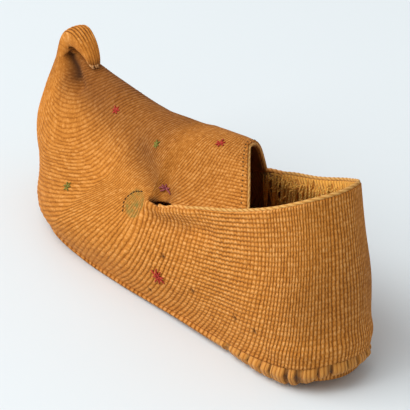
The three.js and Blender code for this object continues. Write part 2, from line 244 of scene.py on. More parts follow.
# Ribs are numbered from the middle of the heel along the sole's edge. Going up a wall they sag in the
# quarters and climb in the front, where they fan out from the end of the slit; the crown has its own numbers.
ribNumbers = {"station": (0, 5, 5.9, 6.8, 9, 12, 18), "ribs": (0, 43, 50, 55, 62, 71, 80)}
ribSag = {"station": (0, 0.4, 1.4, 3.5, 4.8, 5.9, 6.6), "ribs": (0, 0, 10, 17, 15, 2, 0), "back": 0.8}
ribClimb = {"station": (5, 5.9, 6.8, 8.8, 12, 18), "ribs": (0, 5, 10.3, 12.3, 12, 12),
            "even": 0.55, "late": 0.45}
ribCrown = {"station": (5, 6.1, 6.8, 7.6, 8.6, 9.8, 12, 18), "ribs": (53, 57.8, 61.5, 66.5, 74, 81, 91, 100),
            "bend": 2.5}
flapRibs = 18  # ribs across the flap, throat to rear edge
ribClose = {"from": 14, "to": 30, "all": 1.22, "gain": 0.18}  # ribs lie closer together away from the heel
stitchStations = (0, 4, 5, 6, 7, 8, 9, 10, 12, 18)
wallStitches = (33, 32, 31, 30, 30, 30, 28, 22, 13, 6)  # stitches along each rib
vampStitches = (26, 26, 26, 26, 26, 25, 22, 18, 10, 5)
fineStations = np.linspace(0, lastStation, 100 * lastStation + 1)
edgeLength = lengthAlong(footLine(fineStations))


def ribsFrom(table, place):
    return np.interp(place, table["station"], table["ribs"])


def ribsOnWall(stations, height):  # height 0 at the sole's edge, 1 at the rim
    place, height = np.abs(stations)[:, None], height[None]
    sag = ribsFrom(ribSag, place) * (height - ribSag["back"] * height ** 2)
    climb = ribsFrom(ribClimb, place) * (ribClimb["even"] * height + ribClimb["late"] * height ** 3)
    return (ribsFrom(ribNumbers, place) + sag + climb) * sideOf(stations)[:, None]


def ribsOnVamp(stations, height):  # height 0 at the rim, 1 at the crown
    rim = ribsOnWall(np.abs(stations), np.ones(1))
    crown = ribsFrom(ribCrown, np.abs(stations))[:, None]
    return rim + (crown - rim) * (1 - (1 - height[None]) ** ribCrown["bend"])


def closer(ribs):
    low, high, size = ribClose["from"], ribClose["to"], np.abs(ribs)
    share = np.clip((size - low) / (high - low), 0, 1)
    extra = (high - low) * (share ** 3 - share ** 4 / 2) + np.maximum(0, size - high)
    return np.sign(ribs) * (ribClose["all"] * size + ribClose["gain"] * extra)


def evenStations(first, last, columns):  # even along the sole's edge and up the prow
    ends = np.interp((first, last), fineStations, edgeLength)
    return np.interp(np.linspace(*ends, columns + 1), edgeLength, fineStations)


# from the heel's back to the frame's origin
shift = cadHigh.x / mm - wallSheet(fineStations, curveSteps)[..., 0].max()


def toFrame(points):
    return (np.asarray(points, float) + (shift, 0, 0)) * mm


def toLast(points):
    return np.asarray(points, float) / mm - (shift, 0, 0)


# Making pieces
crowded = (0.5, 1.0)  # ribs to a mm, where they start to look calmer and where they fully do
mergeGap, thinEdge = 2e-6, 1e-7  # metres


def smoothStep(low, high, value):  # 0 to 1; falls where low is the larger
    share = np.clip((value - low) / (high - low), 0, 1)
    return share * share * (3 - 2 * share)


def crowding(points, ribs):
    steps = [np.gradient(ribs, axis=k) / np.maximum(np.linalg.norm(np.gradient(points, axis=k), axis=2), 1e-3)
             for k in (0, 1)]
    return smoothStep(*crowded, np.hypot(*steps))


def meshArray(mesh, what="vertices", field="co"):
    data = getattr(mesh, what)
    made = np.empty(len(data) * 3)
    data.foreach_get(field, made)
    return made.reshape(-1, 3)


def meshNumbers(items, field):
    made = np.empty(len(items), int)
    items.foreach_get(field, made)
    return made


def meshValues(mesh, name):
    made = np.empty(len(mesh.vertices))
    mesh.attributes[name].data.foreach_get("value", made)
    return made


def addValues(mesh, name, values):
    mesh.attributes.new(name, "FLOAT", "POINT").data.foreach_set("value", values)


def addMarks(mesh, *shares):  # painted shade, patch, browner tone with painted shade, and rows instead of ribs
    layer = mesh.attributes.new("marks", "FLOAT_COLOR", "POINT")
    layer.data.foreach_set("color", np.stack(shares, 1).ravel())


def moveAlongNormals(mesh, distance):  # distance in mm
    normals = meshArray(mesh, "vertex_normals", "vector")
    mesh.vertices.foreach_set("co", (meshArray(mesh) + normals * distance[:, None] * mm).ravel())
    mesh.update()


def weaveUv(ribs, rows):
    return np.stack(np.broadcast_arrays(ribs, rows), -1)


def gridMesh(name, points, uv, relief, slots):  # a grid laid on points, with its weave numbers and relief
    columns, lines = points.shape[0] - 1, points.shape[1] - 1
    shape = bmesh.new()
    bmesh.ops.create_grid(shape, x_segments=columns, y_segments=lines, size=1)
    mesh = bpy.data.meshes.new(name)
    shape.to_mesh(mesh)
    shape.free()
    flat = meshArray(mesh)
    column = np.rint((flat[:, 0] + 1) / 2 * columns).astype(int)
    line = np.rint((flat[:, 1] + 1) / 2 * lines).astype(int)
    mesh.vertices.foreach_set("co", toFrame(points)[column, line].ravel())
    corner = meshNumbers(mesh.loops, "vertex_index")
    layer = mesh.uv_layers.new(name="weave")
    layer.data.foreach_set("uv", uv[column, line][corner].ravel())
    addValues(mesh, "relief", relief[column, line])
    addValues(mesh, "calm", crowding(points, uv[..., 0])[column, line])
    first, lowest = (place[corner].reshape(-1, 4).min(1) for place in (column, line))
    mesh.polygons.foreach_set("material_index", np.broadcast_to(slots, points.shape[:2])[first, lowest])
    return mesh


def joined(meshes, drop=None):  # one closed bmesh from grids that share their edges
    shape = bmesh.new()
    for mesh in meshes:
        shape.from_mesh(mesh)
        bpy.data.meshes.remove(mesh)
    bmesh.ops.remove_doubles(shape, verts=shape.verts, dist=mergeGap)
    if drop:
        bmesh.ops.delete(shape, geom=[f for f in shape.faces if drop(f)], context="FACES_ONLY")
    bmesh.ops.dissolve_degenerate(shape, edges=shape.edges, dist=thinEdge)
    rims = [e for e in shape.edges if e.is_boundary]
    if rims:
        bmesh.ops.holes_fill(shape, edges=rims, sides=0)
    bmesh.ops.recalc_face_normals(shape, faces=shape.faces)
    return shape


def addPiece(name, shape, materials, stands=()):
    mesh = bpy.data.meshes.new(name)
    for face in shape.faces:
        face.smooth = True
    shape.to_mesh(mesh)
    shape.free()
    piece = bpy.data.objects.new(name, mesh)
    bpy.context.scene.collection.objects.link(piece)
    for material in materials:
        mesh.materials.append(material)
    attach(piece, "root")
    if stands:
        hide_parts(*stands)
    return piece


# Materials
shine = 0.15  # specular level of every finish; dry fibre hardly shines


class Finish:  # a material and the few node moves that the finishes share
    def __init__(self, name, roughness, sheen=0.0):
        self.material = bpy.data.materials.new(name)
        self.material.use_nodes = True
        self.tree = self.material.node_tree
        self.shader = self.tree.nodes["Principled BSDF"]
        self.shader.inputs["Roughness"].default_value = roughness
        self.shader.inputs["Specular IOR Level"].default_value = shine
        self.shader.inputs["Sheen Weight"].default_value = sheen

    def node(self, kind, inputs=None, **settings):
        made = self.tree.nodes.new(kind)
        for key, value in settings.items():
            setattr(made, key, value)
        for key, value in (inputs or {}).items():
            self.put(value, made.inputs[key])
        return made

    def put(self, value, socket):
        if isinstance(value, bpy.types.NodeSocket):
            self.tree.links.new(value, socket)
        else:
            socket.default_value = value

    def paint(self, colour):
        self.put(colour, self.shader.inputs["Base Color"])

    def maths(self, operation, *values):
        made = self.node("ShaderNodeMath", dict(enumerate(values)), operation=operation)
        return made.outputs[0]

    def times(self, first, second):
        return self.maths("MULTIPLY", first, second)

    def scaled(self, value, factor, base):  # value times factor, plus base
        return self.maths("MULTIPLY_ADD", value, factor, base)

    def spread(self, value, reach, base):  # base, moved by up to half of reach either way
        return self.scaled(self.maths("SUBTRACT", value, 0.5), reach, base)

    def aside(self, value):  # 1 at whole numbers, 0 half way between them
        return self.maths("ABSOLUTE", self.scaled(self.maths("FRACT", value), 2.0, -1.0))

    def hump(self, value, power):  # 0 at whole numbers, 1 half way between them
        return self.maths("SUBTRACT", 1.0, self.maths("POWER", self.aside(value), power))

    def mix(self, share, first, colour, kind="MIX"):
        inputs = {0: share, 6: first, 7: (*colour, 1)}
        return self.node("ShaderNodeMix", inputs, data_type="RGBA", blend_type=kind).outputs[2]

    def ramp(self, share, places, colours):
        made = self.node("ShaderNodeValToRGB", {"Fac": share})
        points = made.color_ramp.elements
        while len(points) < len(places):
            points.new(0.5)
        for point, place, colour in zip(points, places, colours):
            point.position, point.color = place, (*colour, 1)
        return made.outputs["Color"]

    def noise(self, scale, vector=None, detail=2.0):
        place = vector or self.node("ShaderNodeTexCoord").outputs["Object"]
        inputs = {"Vector": place, "Scale": scale, "Detail": detail}
        return self.node("ShaderNodeTexNoise", inputs).outputs["Fac"]

    def fibres(self, first, second, grain):  # noise drawn out over a pair of numbers
        firstScale, secondScale, detail = grain
        place = self.pair(self.times(first, firstScale), self.times(second, secondScale))
        return self.noise(1.0, place, detail)

    def uv(self):
        place = self.node("ShaderNodeUVMap", uv_map="weave").outputs[0]
        split = self.node("ShaderNodeSeparateXYZ", {0: place})
        return split.outputs[0], split.outputs[1]

    def marks(self):  # what addMarks wrote
        made = self.node("ShaderNodeAttribute", attribute_name="marks")
        split = self.node("ShaderNodeSeparateColor", {0: made.outputs["Color"]})
        return (*split.outputs, made.outputs["Alpha"])

    def pair(self, first, second):
        return self.node("ShaderNodeCombineXYZ", {0: first, 1: second}).outputs[0]

    def bump(self, height, depth):  # depth in mm
        made = self.node("ShaderNodeBump", {"Height": height, "Distance": depth * mm, "Strength": 1.0})
        self.put(made.outputs[0], self.shader.inputs["Normal"])


# Tones of the looped fibre. The finish's tone follows the weave's height: the gap and dark tones are painted
# shade in the low places between ribs and stitches, and the light tone sits on the crests; speckle, chance
# and streaks are the fibre's own. Of the marks' colours, one is painted shade in hollows, holes and under the
# flap, and the other darkens for the fabric's browner tone and for painted shade.
weaveLook = {
    "gap": (0.17, 0.045, 0.004), "dark": (0.39, 0.12, 0.01), "mid": (0.62, 0.228, 0.032),
    "light": (0.87, 0.42, 0.125), "stops": (0.0, 0.35, 0.66, 1.0), "brownerAndShade": (0.45, 0.42, 0.48),
    "patch": (0.27, 0.185, 0.036), "paintedShade": (0.055, 0.018, 0.004), "rough": 0.88, "sheen": 0.02,
    "slant": 0.18, "split": 0.16, "splitPower": 4.0, "round": 1.8, "lesser": 0.24,
    "wander": 0.34, "ragged": 0.4, "depth": 0.58, "level": 0.55, "tone": 0.58, "calmer": -0.22,
    "flatter": -0.4, "speck": 0.5, "chance": 0.2, "streak": 0.45, "streakGrain": (7.0, 0.9, 3.0),
    "streakBump": 0.3, "bump": 0.8, "cloud": (0.5, 0.65), "faded": (2.2, -0.55),
}
noiseScales = {"wander": 90.0, "ragged": 430.0, "speck": 900.0, "cloud": 14.0, "faded": 420.0}


def weaveFinish(name, look):
    made = Finish(name, look["rough"], look["sheen"])
    ribs, rows = made.uv()
    wander = made.spread(made.noise(noiseScales["wander"]), look["wander"], 0.0)
    wander = made.spread(made.noise(noiseScales["ragged"]), look["ragged"], wander)
    ribs = made.maths("ADD", ribs, wander)
    aside = made.aside(ribs)
    rows = made.maths("ADD", rows, made.scaled(aside, look["slant"], wander))
    rib, stitch = made.hump(ribs, look["round"]), made.hump(rows, look["round"])
    split = made.maths("POWER", made.maths("SUBTRACT", 1.0, aside), look["splitPower"])
    rib = made.scaled(split, -look["split"], rib)  # line between a stitch's two strands
    stitchId = made.pair(made.maths("FLOOR", ribs), made.maths("FLOOR", rows))
    chance = made.node("ShaderNodeTexWhiteNoise", {"Vector": stitchId}, noise_dimensions="2D").outputs[0]
    streak = made.fibres(ribs, rows, look["streakGrain"])
    # marks: painted shade, patch, browner tone with painted shade, and rows
    dark, patch, brownerAndShade, byRows = made.marks()
    lesser, rest = look["lesser"], 1 - look["lesser"]
    alongRibs = made.times(rib, made.scaled(stitch, lesser, rest))
    alongRows = made.times(stitch, made.scaled(rib, lesser, rest))
    height = made.node("ShaderNodeMix", {0: byRows, 2: alongRibs, 3: alongRows}, data_type="FLOAT").outputs[0]
    calm = made.node("ShaderNodeAttribute", attribute_name="calm").outputs["Fac"]
    # painted shade between ribs and stitches: the lower the weave, the darker, less so where it is calm
    depth = made.scaled(calm, look["calmer"], look["depth"])
    tone = made.scaled(made.maths("SUBTRACT", height, look["level"]), depth, look["tone"])
    tone = made.spread(made.noise(noiseScales["speck"]), look["speck"], tone)
    tone = made.spread(chance, look["chance"], tone)
    tone = made.spread(streak, look["streak"], tone)
    colour = made.ramp(tone, look["stops"], [look[key] for key in ("gap", "dark", "mid", "light")])
    cloud = made.scaled(made.noise(noiseScales["cloud"], detail=1.0), *look["cloud"])
    # browner tone of the fabric, with painted shade, from the marks
    colour = made.mix(made.times(cloud, brownerAndShade), colour, look["brownerAndShade"], "MULTIPLY")
    faded = made.scaled(made.noise(noiseScales["faded"]), *look["faded"])
    colour = made.mix(made.times(patch, faded), colour, look["patch"])
    # painted shade in hollows, holes and under the flap, from the marks
    made.paint(made.mix(dark, colour, look["paintedShade"]))
    raised = made.times(height, made.scaled(calm, look["flatter"], 1.0))
    made.bump(made.scaled(streak, look["streakBump"], raised), look["bump"])
    return made.material


def threeTones(look):
    return [look[key] for key in ("dark", "mid", "light")]


strawLook = {"dark": (0.27, 0.09, 0.009), "mid": (0.74, 0.31, 0.036), "light": (0.94, 0.5, 0.088),
             "stops": (0.25, 0.6, 0.95), "rough": 0.85, "sheen": 0.1, "grain": (5.0, 0.25, 4.0), "round": 2.0,
             "course": 0.45, "strand": 0.75, "bump": 0.9}


def strawFinish(name, look):  # loose straw-coloured strands that run up and down the ribs
    made = Finish(name, look["rough"], look["sheen"])
    ribs, rows = made.uv()
    strand = made.times(made.fibres(ribs, rows, look["grain"]), look["strand"])
    tone = made.scaled(made.hump(ribs, look["round"]), look["course"], strand)
    colour = made.ramp(tone, look["stops"], threeTones(look))
    # painted shade from the marks, as on the looped fibre
    made.paint(made.mix(made.marks()[0], colour, weaveLook["paintedShade"]))
    made.bump(tone, look["bump"])
    return made.material


twistLook = {"stops": (0.2, 0.55, 0.95), "rough": 0.85, "sheen": 0.04, "grain": (3.0, 14.0, 3.0),
             "round": 1.8, "fibre": 0.6, "ply": 0.6, "bump": 0.5}


def twistFinish(name, *tones):  # a twisted cord, numbered along its strands; tones are dark, mid and light
    look = twistLook
    made = Finish(name, look["rough"], look["sheen"])
    along, around = made.uv()
    ply = made.times(made.hump(made.maths("SUBTRACT", around, along), look["round"]), look["ply"])
    tone = made.scaled(made.fibres(along, around, look["grain"]), look["fibre"], ply)
    made.paint(made.ramp(tone, look["stops"], tones))
    made.bump(tone, look["bump"])
    return made.material


fibreWeave = weaveFinish("looped fibre", weaveLook)
strawLining = strawFinish("straw lining", strawLook)
borderTwist = twistFinish("border twist", (0.42, 0.16, 0.026), (0.62, 0.28, 0.06), (0.78, 0.44, 0.13))
lipTwist = twistFinish("rolled lip", (0.46, 0.15, 0.016), (0.66, 0.26, 0.045), (0.84, 0.42, 0.12))
soleCord = weaveFinish("sole cord", {**weaveLook, "ragged": 0.45})
soleStrands = strawFinish("sole strands", {**strawLook, "dark": (0.3, 0.1, 0.012), "mid": (0.54, 0.205, 0.03),
                                           "light": (0.7, 0.33, 0.075)})
print("finishes ready")


# Upper: one closed shell of looped fibre with a straw lining
upperSpec = {"quarterColumns": 236, "frontColumns": 166, "curlColumns": 40, "flapColumns": 72, "wallRows": 70,
             "vampRows": 36, "liningRows": 7, "underStep": 6, "wall": 2.6, "rimCrest": 0.5, "ribRelief": 0.4,
             "stitchRelief": 0.25, "reliefLevel": 0.6, "held": (0.2, 0.42), "rowsFlat": 0.8,
             "flapRelief": 0.8, "curlRelief": 0.7, "softTurn": 22, "turnFrom": (0.2, 1.4)}
slit = {"x": 114, "y": 27.5, "long": 5.5, "wide": 8, "open": 2.3, "way": (0, -0.8, -0.6), "from": 0.14}
rowsLead = {"heel": 0.1, "heelEnd": (85, 125), "band": 0.8, "x": 58, "width": 24, "low": 0.35,
            "rise": (12, 36)}
curlStrands, curlStitch = 10, 3.0  # strands round the rolled strip, and mm from stitch to stitch
# the strip's end comes down on the toe; its loop is nearly full, and what is left open is low in it
hookEnd = {"shares": (0.4, 1.0), "move": (-6, 2, -2.6), "full": 0.86, "soft": 0.7, "flush": 0.4,
           "flushFrom": 0.3, "heart": (-1.5, 0, -3), "narrow": 0.7, "side": -4.5}
prow = {"from": toFrame(footPoints[soleEnd])[0] - 0.02, "off": 2e-5, "upright": 0.999}  # lengths in metres
normalStep = 1e-3  # of a station, or of the flap's length
wallRows, vampRows = upperSpec["wallRows"], upperSpec["vampRows"]
# the lining has fewer rows
liningPick = np.rint(np.linspace(0, wallRows, upperSpec["liningRows"] + 1)).astype(int)
underPick = np.arange(0, 2 * vampRows + 1, upperSpec["underStep"])


def held(numbers):  # 1 where the mesh is fine enough for the ribs, 0 where only the finish shows them
    steps = np.stack(np.gradient(numbers))
    return 1 - smoothStep(*upperSpec["held"], np.abs(steps).max(0))


def weaveRelief(ribs, rows, share):  # mm, with share of the full depth
    ribs, rows = np.broadcast_arrays(ribs, rows)
    level = upperSpec["reliefLevel"]
    rib = 1 - np.abs(2 * (ribs % 1) - 1) ** 2
    stitch = 1 - np.abs(2 * (rows % 1) - 1) ** 2
    shape = upperSpec["ribRelief"] * (rib - level)
    shape = shape + upperSpec["stitchRelief"] * held(rows) * rib * (stitch - level)
    return share * held(ribs) * shape


def rowsLeadAt(points):  # how far rows show instead of ribs
    spec, x, z = rowsLead, points[..., 0], points[..., 2]
    high = spec["low"] + (1 - spec["low"]) * smoothStep(*spec["rise"], z)
    band = spec["band"] * np.exp(-((x - spec["x"]) / spec["width"]) ** 2) * high
    return spec["heel"] * (1 - smoothStep(*spec["heelEnd"], x)) + band


def stitchesAt(stations, counts):
    return np.interp(np.abs(stations), stitchStations, counts)[:, None]


def normalsAcross(maker, places, low=-np.inf, high=np.inf):  # normals of the sheet that maker lays at places
    ahead, behind = np.minimum(places + normalStep, high), np.maximum(places - normalStep, low)
    return unit(np.cross(np.gradient(maker(places), axis=1), maker(ahead) - maker(behind)))


def frontArch(stations):  # right foot over the crown to the left foot
    halves = []
    for side in (-1, 1):
        wall = wallSheet(side * stations, wallRows)
        halves.append(np.concatenate([wall, vampSheet(side * stations, vampRows)[:, 1:]], 1))
    return np.concatenate([halves[0], halves[1][:, -2::-1]], 1)


def softened(lines, reach):  # running mean along each line, its ends kept
    padded = np.pad(lines, ((0, 0), (reach, reach)), mode="reflect", reflect_type="odd")
    weights = np.hanning(2 * reach + 3)[1:-1]
    return np.stack([np.convolve(line, weights / weights.sum(), mode="valid") for line in padded])


def frontNumbers(stations):
    onWall, onVamp = np.linspace(0, 1, wallRows + 1), np.linspace(0, 1, vampRows + 1)[1:]
    low, high = stitchesAt(stations, wallStitches), stitchesAt(stations, vampStitches)
    rows = np.hstack([low * onWall, low + high * onVamp])
    ribs = np.hstack([ribsOnWall(stations, onWall), ribsOnVamp(stations, onVamp)])
    share = smoothStep(*upperSpec["turnFrom"], stations - throat)[:, None]
    ribs = ribs + share * (softened(ribs, upperSpec["softTurn"]) - ribs)
    ribs, rows = (np.hstack([half, half[:, -2::-1]]) for half in (ribs, rows))
    return closer(ribs), rows


def ringed(first, *others):  # rows round a wall, back to the first one
    return np.concatenate([first, *others, first[:, :1]], 1)


def wallMesh(name, loop, uv, relief, liningFrom):  # relief on the outer rows alone, straw from liningFrom on
    full = np.zeros(loop.shape[:2])
    full[:relief.shape[0], :relief.shape[1]] = relief
    slots = np.zeros(loop.shape[1], int)
    slots[liningFrom:-2] = 1
    return gridMesh(name, loop, uv, full, slots)


def frontMesh():  # gives the lining at the throat too, where the quarters and the flap go on
    stations = evenStations(throat, toeTip, upperSpec["frontColumns"])
    outer = frontArch(stations)
    count = outer.shape[1]
    normals = normalsAcross(frontArch, stations)
    normals *= np.sign(normals[:, count // 2, 2])[:, None, None]
    inner = outer - normals * upperSpec["wall"]
    onProw = stations >= soleEnd
    for foot in (0, -1):
        inner[~onProw, foot, 2] = outer[~onProw, foot, 2]
        inner[onProw, foot, 1] = 0
    keep = np.concatenate([liningPick[:-1], wallRows + underPick, (count - 1 - liningPick[:-1])[::-1]])[::-1]
    ribs, rows = frontNumbers(stations)
    uv = weaveUv(ribs, rows)
    loop = ringed(outer, inner[:, keep])
    mesh = wallMesh("front", loop, ringed(uv, uv[:, keep]), weaveRelief(ribs, rows, 1.0), count)
    return mesh, inner[0]


def quarterMesh(throatLining):  # from the right side of the throat round the heel to the left side
    places = mirrored(evenStations(0, throat, upperSpec["quarterColumns"]))
    side = wallSheet(places, wallRows)
    normals = normalsAcross(lambda stations: wallSheet(stations, wallRows), places)
    normals *= np.sign(dot(normals[:, wallRows // 2], outwardAt(places)))[:, None]
    lining = side - normals * upperSpec["wall"]
    lining[:, 0, 2] = side[:, 0, 2]
    lining[0], lining[-1] = throatLining[:wallRows + 1], throatLining[:-wallRows - 2:-1]
    down = liningPick[::-1]
    lining = lining[:, down]
    crest = (side[:, -1:] + lining[:, :1]) / 2
    crest[1:-1] += (0, 0, upperSpec["rimCrest"])
    onWall = np.linspace(0, 1, wallRows + 1)
    rows = stitchesAt(places, wallStitches) * onWall
    ribs = closer(ribsOnWall(places, onWall))
    uv = weaveUv(ribs, rows)
    uv = ringed(uv, uv[:, -1:], uv[:, down])
    relief = weaveRelief(ribs, rows, 1 - upperSpec["rowsFlat"] * rowsLeadAt(side))[:, :wallRows]
    return wallMesh("quarters", ringed(side, crest, lining), uv, relief, wallRows + 1)


def flapMesh(throatLining):  # runs back from the throat; its rear edge closes on the middle of the wall
    shares = np.linspace(0, 1, upperSpec["flapColumns"] + 1)
    over = flapSheet(shares, vampRows)
    normals = normalsAcross(lambda places: flapSheet(places, vampRows), shares, 0, 1)
    normals *= np.sign(normals[:, vampRows, 2])[:, None, None]
    under = over - normals * upperSpec["wall"]
    x, y = over[..., 0], over[..., 1]
    opening = np.exp(-((x - slit["x"]) / slit["long"]) ** 2)
    opening *= np.exp(-((np.abs(y) - slit["y"]) / slit["wide"]) ** 2)
    opening *= smoothStep(0, slit["from"], shares)[:, None] * (y > 0)
    tuck = opening[..., None] * slit["open"] * np.array(slit["way"])
    over, under = over + tuck, under + tuck
    under[0] = throatLining[wallRows:wallRows + 2 * vampRows + 1]
    fromEdge = 1 - np.abs(np.linspace(-1, 1, 2 * vampRows + 1))
    low, high = (np.interp(throat, stitchStations, counts) for counts in (wallStitches, vampStitches))
    rows = low + high * fromEdge + 0 * x
    atThroat = ribsOnVamp(np.array([throat]), fromEdge)
    level = atThroat[:, :1] + (atThroat[:, vampRows:vampRows + 1] - atThroat[:, :1]) * fromEdge
    ribs = closer(atThroat + (level - atThroat - flapRibs) * shares[:, None])
    below = underPick[::-1]
    back = ((over + under) / 2)[-1:]
    loop = np.concatenate([ringed(over, under[:, below]), ringed(back, back[:, below])], 0)
    uv = weaveUv(ribs, rows)
    uv = ringed(uv, uv[:, below])
    relief = weaveRelief(ribs, rows, upperSpec["flapRelief"])
    relief[:, (0, -1)] = 0
    return wallMesh("flap", loop, np.concatenate([uv, uv[-1:]], 0), relief, over.shape[1])


def curlMesh():  # the curled toe, full of fibre
    spec = hookEnd
    rolled = evenStations(toeTip, lastStation, upperSpec["curlColumns"])
    tube = frontArch(rolled)
    y = tube[..., 1]
    late = smoothStep(*spec["shares"], (rolled - toeTip) / (lastStation - toeTip))[:, None]
    full = np.sin(np.linspace(0, np.pi, len(rolled)))[:, None] ** 0.5
    middle = np.array((curl["x"], 0, curl["z"]))
    fromMiddle = np.linalg.norm((tube - middle) * (1, 0, 1), axis=2)
    inward = np.clip(2 * (curl["radius"] - fromMiddle) / curl["thick"], 0, 1)  # 1 on the loop's inner face
    widest = np.abs(y).max(1, keepdims=True)
    flush = np.sign(y) * widest * (np.abs(y) / widest) ** spec["flush"]
    y += (flush - y) * full * smoothStep(0, spec["flushFrom"], inward)
    filled = spec["full"] * full * inward ** spec["soft"]
    tube += (middle + np.array(spec["heart"]) - tube) * (1, 0, 1) * filled[..., None]
    y[:] = spec["side"] + (y - spec["side"]) * (1 - (1 - spec["narrow"]) * late)
    tube += late[..., None] * np.array(spec["move"])
    around = np.linspace(0, curlStrands, tube.shape[1])[None]
    along = np.interp(rolled, fineStations, edgeLength)[:, None] / curlStitch
    relief = weaveRelief(around, along, upperSpec["curlRelief"])
    relief[(0, -1), :] = 0
    return gridMesh("curl", tube, weaveUv(around, along), relief, 0)


def bridgesProw(face):  # the prow has no edge under it, so the strips there go
    centre = face.calc_center_median()
    flat = abs(face.normal.y) > prow["upright"] and abs(centre.y) < prow["off"]
    return flat and centre.x > prow["from"]


def makeUpper():
    front, throatLining = frontMesh()
    shape = joined([front, quarterMesh(throatLining), flapMesh(throatLining), curlMesh()], bridgesProw)
    piece = addPiece("upper_weave", shape, [fibreWeave, strawLining], ["upper"])
    finishUpper(piece.data)
    print("upper", len(piece.data.polygons), "faces")
    return piece


# Soft troughs (depth above 0) and ridges: depth, width and a line on the slipper in mm. The right side is
# as the left.
creases = [
    (1.6, 5.4, (142, 20, 64.5), (126, 24, 62.5), (114, 25.2, 58.6)),
    (1.2, 6.5, (154, 14, 69.5), (142, 18, 67), (131, 21.5, 65)),
    (1.9, 5, (110, 31.5, 49.5), (98, 31, 52.5), (86, 30.5, 55.5), (72, 29.5, 59.5)),
    (-1.2, 3.2, (118, 30, 53), (100, 29, 58.5), (84, 28.5, 64)),
    (-0.6, 4, (226, 4, 70), (212, 12, 62), (200, 22, 52)),
    (3.8, 3.8, (221.5, 5.6, 77.6), (215.5, 7.8, 72.6), (209, 10, 68.9)),
    (-1.2, 5, (1, 0, 25), (8.6, 18.5, 23), (22, 25, 20)),
]
sway = {"depth": 0.35, "lengths": (9, 8, 7), "starts": (1.3, 0.5, 0)}  # the fabric is nowhere quite even
# Painted shade in shadowed hollows: share, width, how far to the side it reaches, and a line. Under the hook,
# at the slit's front end, and the troughs beside it.
paintedShadePlaces = [
    (0.97, 3.1, 40, (222.1, 5.2, 78.1), (218, 6.6, 75), (215, 8, 71.9)),
    (0.93, 2.0, 28.6, (118.8, 27.8, 54), (114.5, 26.6, 55.6), (110.5, 25.8, 56.8)),
    (0.16, 7, 40, (146, 17, 67.5), (135, 21, 65.5), (124, 24, 62)),
    (0.26, 5, 28.6, (124, 24, 62), (116, 24.6, 59.4), (106, 23.6, 61)),
    (0.2, 4, 40, (112, 31.5, 50), (100, 31, 52), (88, 30.5, 55)),
]
rimDips = [  # the near rim is wavy; right: share of a dip on the far side
    {"x": 108, "depth": 2.6, "width": 8, "right": 0.2},
    {"x": 91, "depth": 1.0, "width": 8, "right": 1.0},
]
rimZone = {"below": 9, "side": (26.2, 26.8), "front": 121}  # what sinks with the rim
# pinholes: sunk, and darkened with painted shade; their width and depth
pinholes = [(98.5, 35.2, 35.7), (77.3, 33.1, 26.9), (48, 29.8, 26), (34.4, 28.3, 25.6), (109.9, 34.7, 11.3)]
pinholeWidth, pinholeDepth = 1.1, 0.9
patchSpec = {"centre": (127.6, 31.2, 49.1), "radius": 7.5, "fade": 0.8, "back": (117, 121)}
# dark threads as painted shade in the row of holes along the flap's rear edge
flapHoleShade = {"share": 0.95, "spacing": 2.9, "radius": 0.42, "half": 0.55, "sunk": -0.1, "points": 4,
             "sides": 5}
liningDown = (0.1, 0.5)  # how far the lining's faces look down where it follows the creases
shadeUnderFlap = {"share": 0.6, "x": (84, 98)}  # painted shade on the lining under the flap
topEdge = (27.5, 25.5)  # mm from the middle, where the sides go over into the top
# Zones of the finish: share, on the top alone or not, then where it comes in: axis (0 x, 2 z), none, full
# The brown zones darken for the fabric's browner tone and, on the top, for painted shade.
brownAndShadeZones = [
    (0.3, True, (2, 48, 68), (0, 45, 95)),
    (0.5, False, (2, 56, 72), (0, 108, 140)),
    (0.12, False, (0, 150, 190)),
    (0.25, False, (2, 58, 70), (0, 165, 200)),
]
# a little browner tone everywhere; painted shade along the trough by the slit and on the middle of the heel's
# back
brownAndShadeLook = {"least": 0.06, "crease": 0.2, "creaseWidth": 7, "heel": 0.32, "heelZ": 50, "heelHigh": 20,
             "heelX": (30, 8)}
calmZones = [
    (1.0, False, (0, 95, 145)),
    (0.35, False, (0, 180, 205)),
    (0.6, True, (2, 48, 58), (0, 45, 60), (0, 135, 110)),
    (0.5, False, (2, 28, 10), (0, 60, 100)),
    (-0.35, False, (0, 45, 20)),
]
calmMost = 2.2
# where the toe goes over into the hook's strip, which is lighter
hookSeam = {"point": (228, 0, 75.5), "way": (0.41, 0, 0.91), "reach": 5, "calm": 0.9, "strip": (5, 9),
            "from": 205, "high": 0.9, "highZ": (76, 84), "ahead": 0.75, "aheadX": (217, 227)}


def distanceTo(points, line):
    line = np.asarray(line, float)
    best = np.full(len(points), np.inf)
    for start, end in zip(line[:-1], line[1:]):
        step = end - start
        along = np.clip((points - start) @ step / (step @ step), 0, 1)
        best = np.minimum(best, np.linalg.norm(points - start - along[:, None] * step, axis=1))
    return best


def nearLine(points, line, width):  # 1 on the line, less beside it
    return np.exp(-(distanceTo(points, line) / width) ** 2)


def spacedAlong(line, spacing):  # points at even spacing along a line
    length = lengthAlong(line)
    return pointsAt(line, length, np.arange(spacing / 2, length[-1], spacing))


def rimDrop(points):  # how far the rim sinks, in mm
    drop = np.zeros(len(points))
    for dip in rimDips:
        share = np.where(points[:, 1] > 0, 1, dip["right"])
        drop += share * dip["depth"] * np.exp(-((points[:, 0] - dip["x"]) / dip["width"]) ** 2)
    return drop


def zoneSum(zones, points, onTop):
    total = np.zeros(len(points))
    for share, topAlone, *steps in zones:
        zone = share * onTop if topAlone else share
        for axis, none, full in steps:
            zone = zone * smoothStep(none, full, points[:, axis])
        total += zone
    return total


def liningVertices(mesh):
    inSlot = meshNumbers(mesh.polygons, "material_index") == 1
    corners = np.repeat(inSlot, meshNumbers(mesh.polygons, "loop_total"))
    inside = np.zeros(len(mesh.vertices), bool)
    inside[meshNumbers(mesh.loops, "vertex_index")[corners]] = True
    return inside


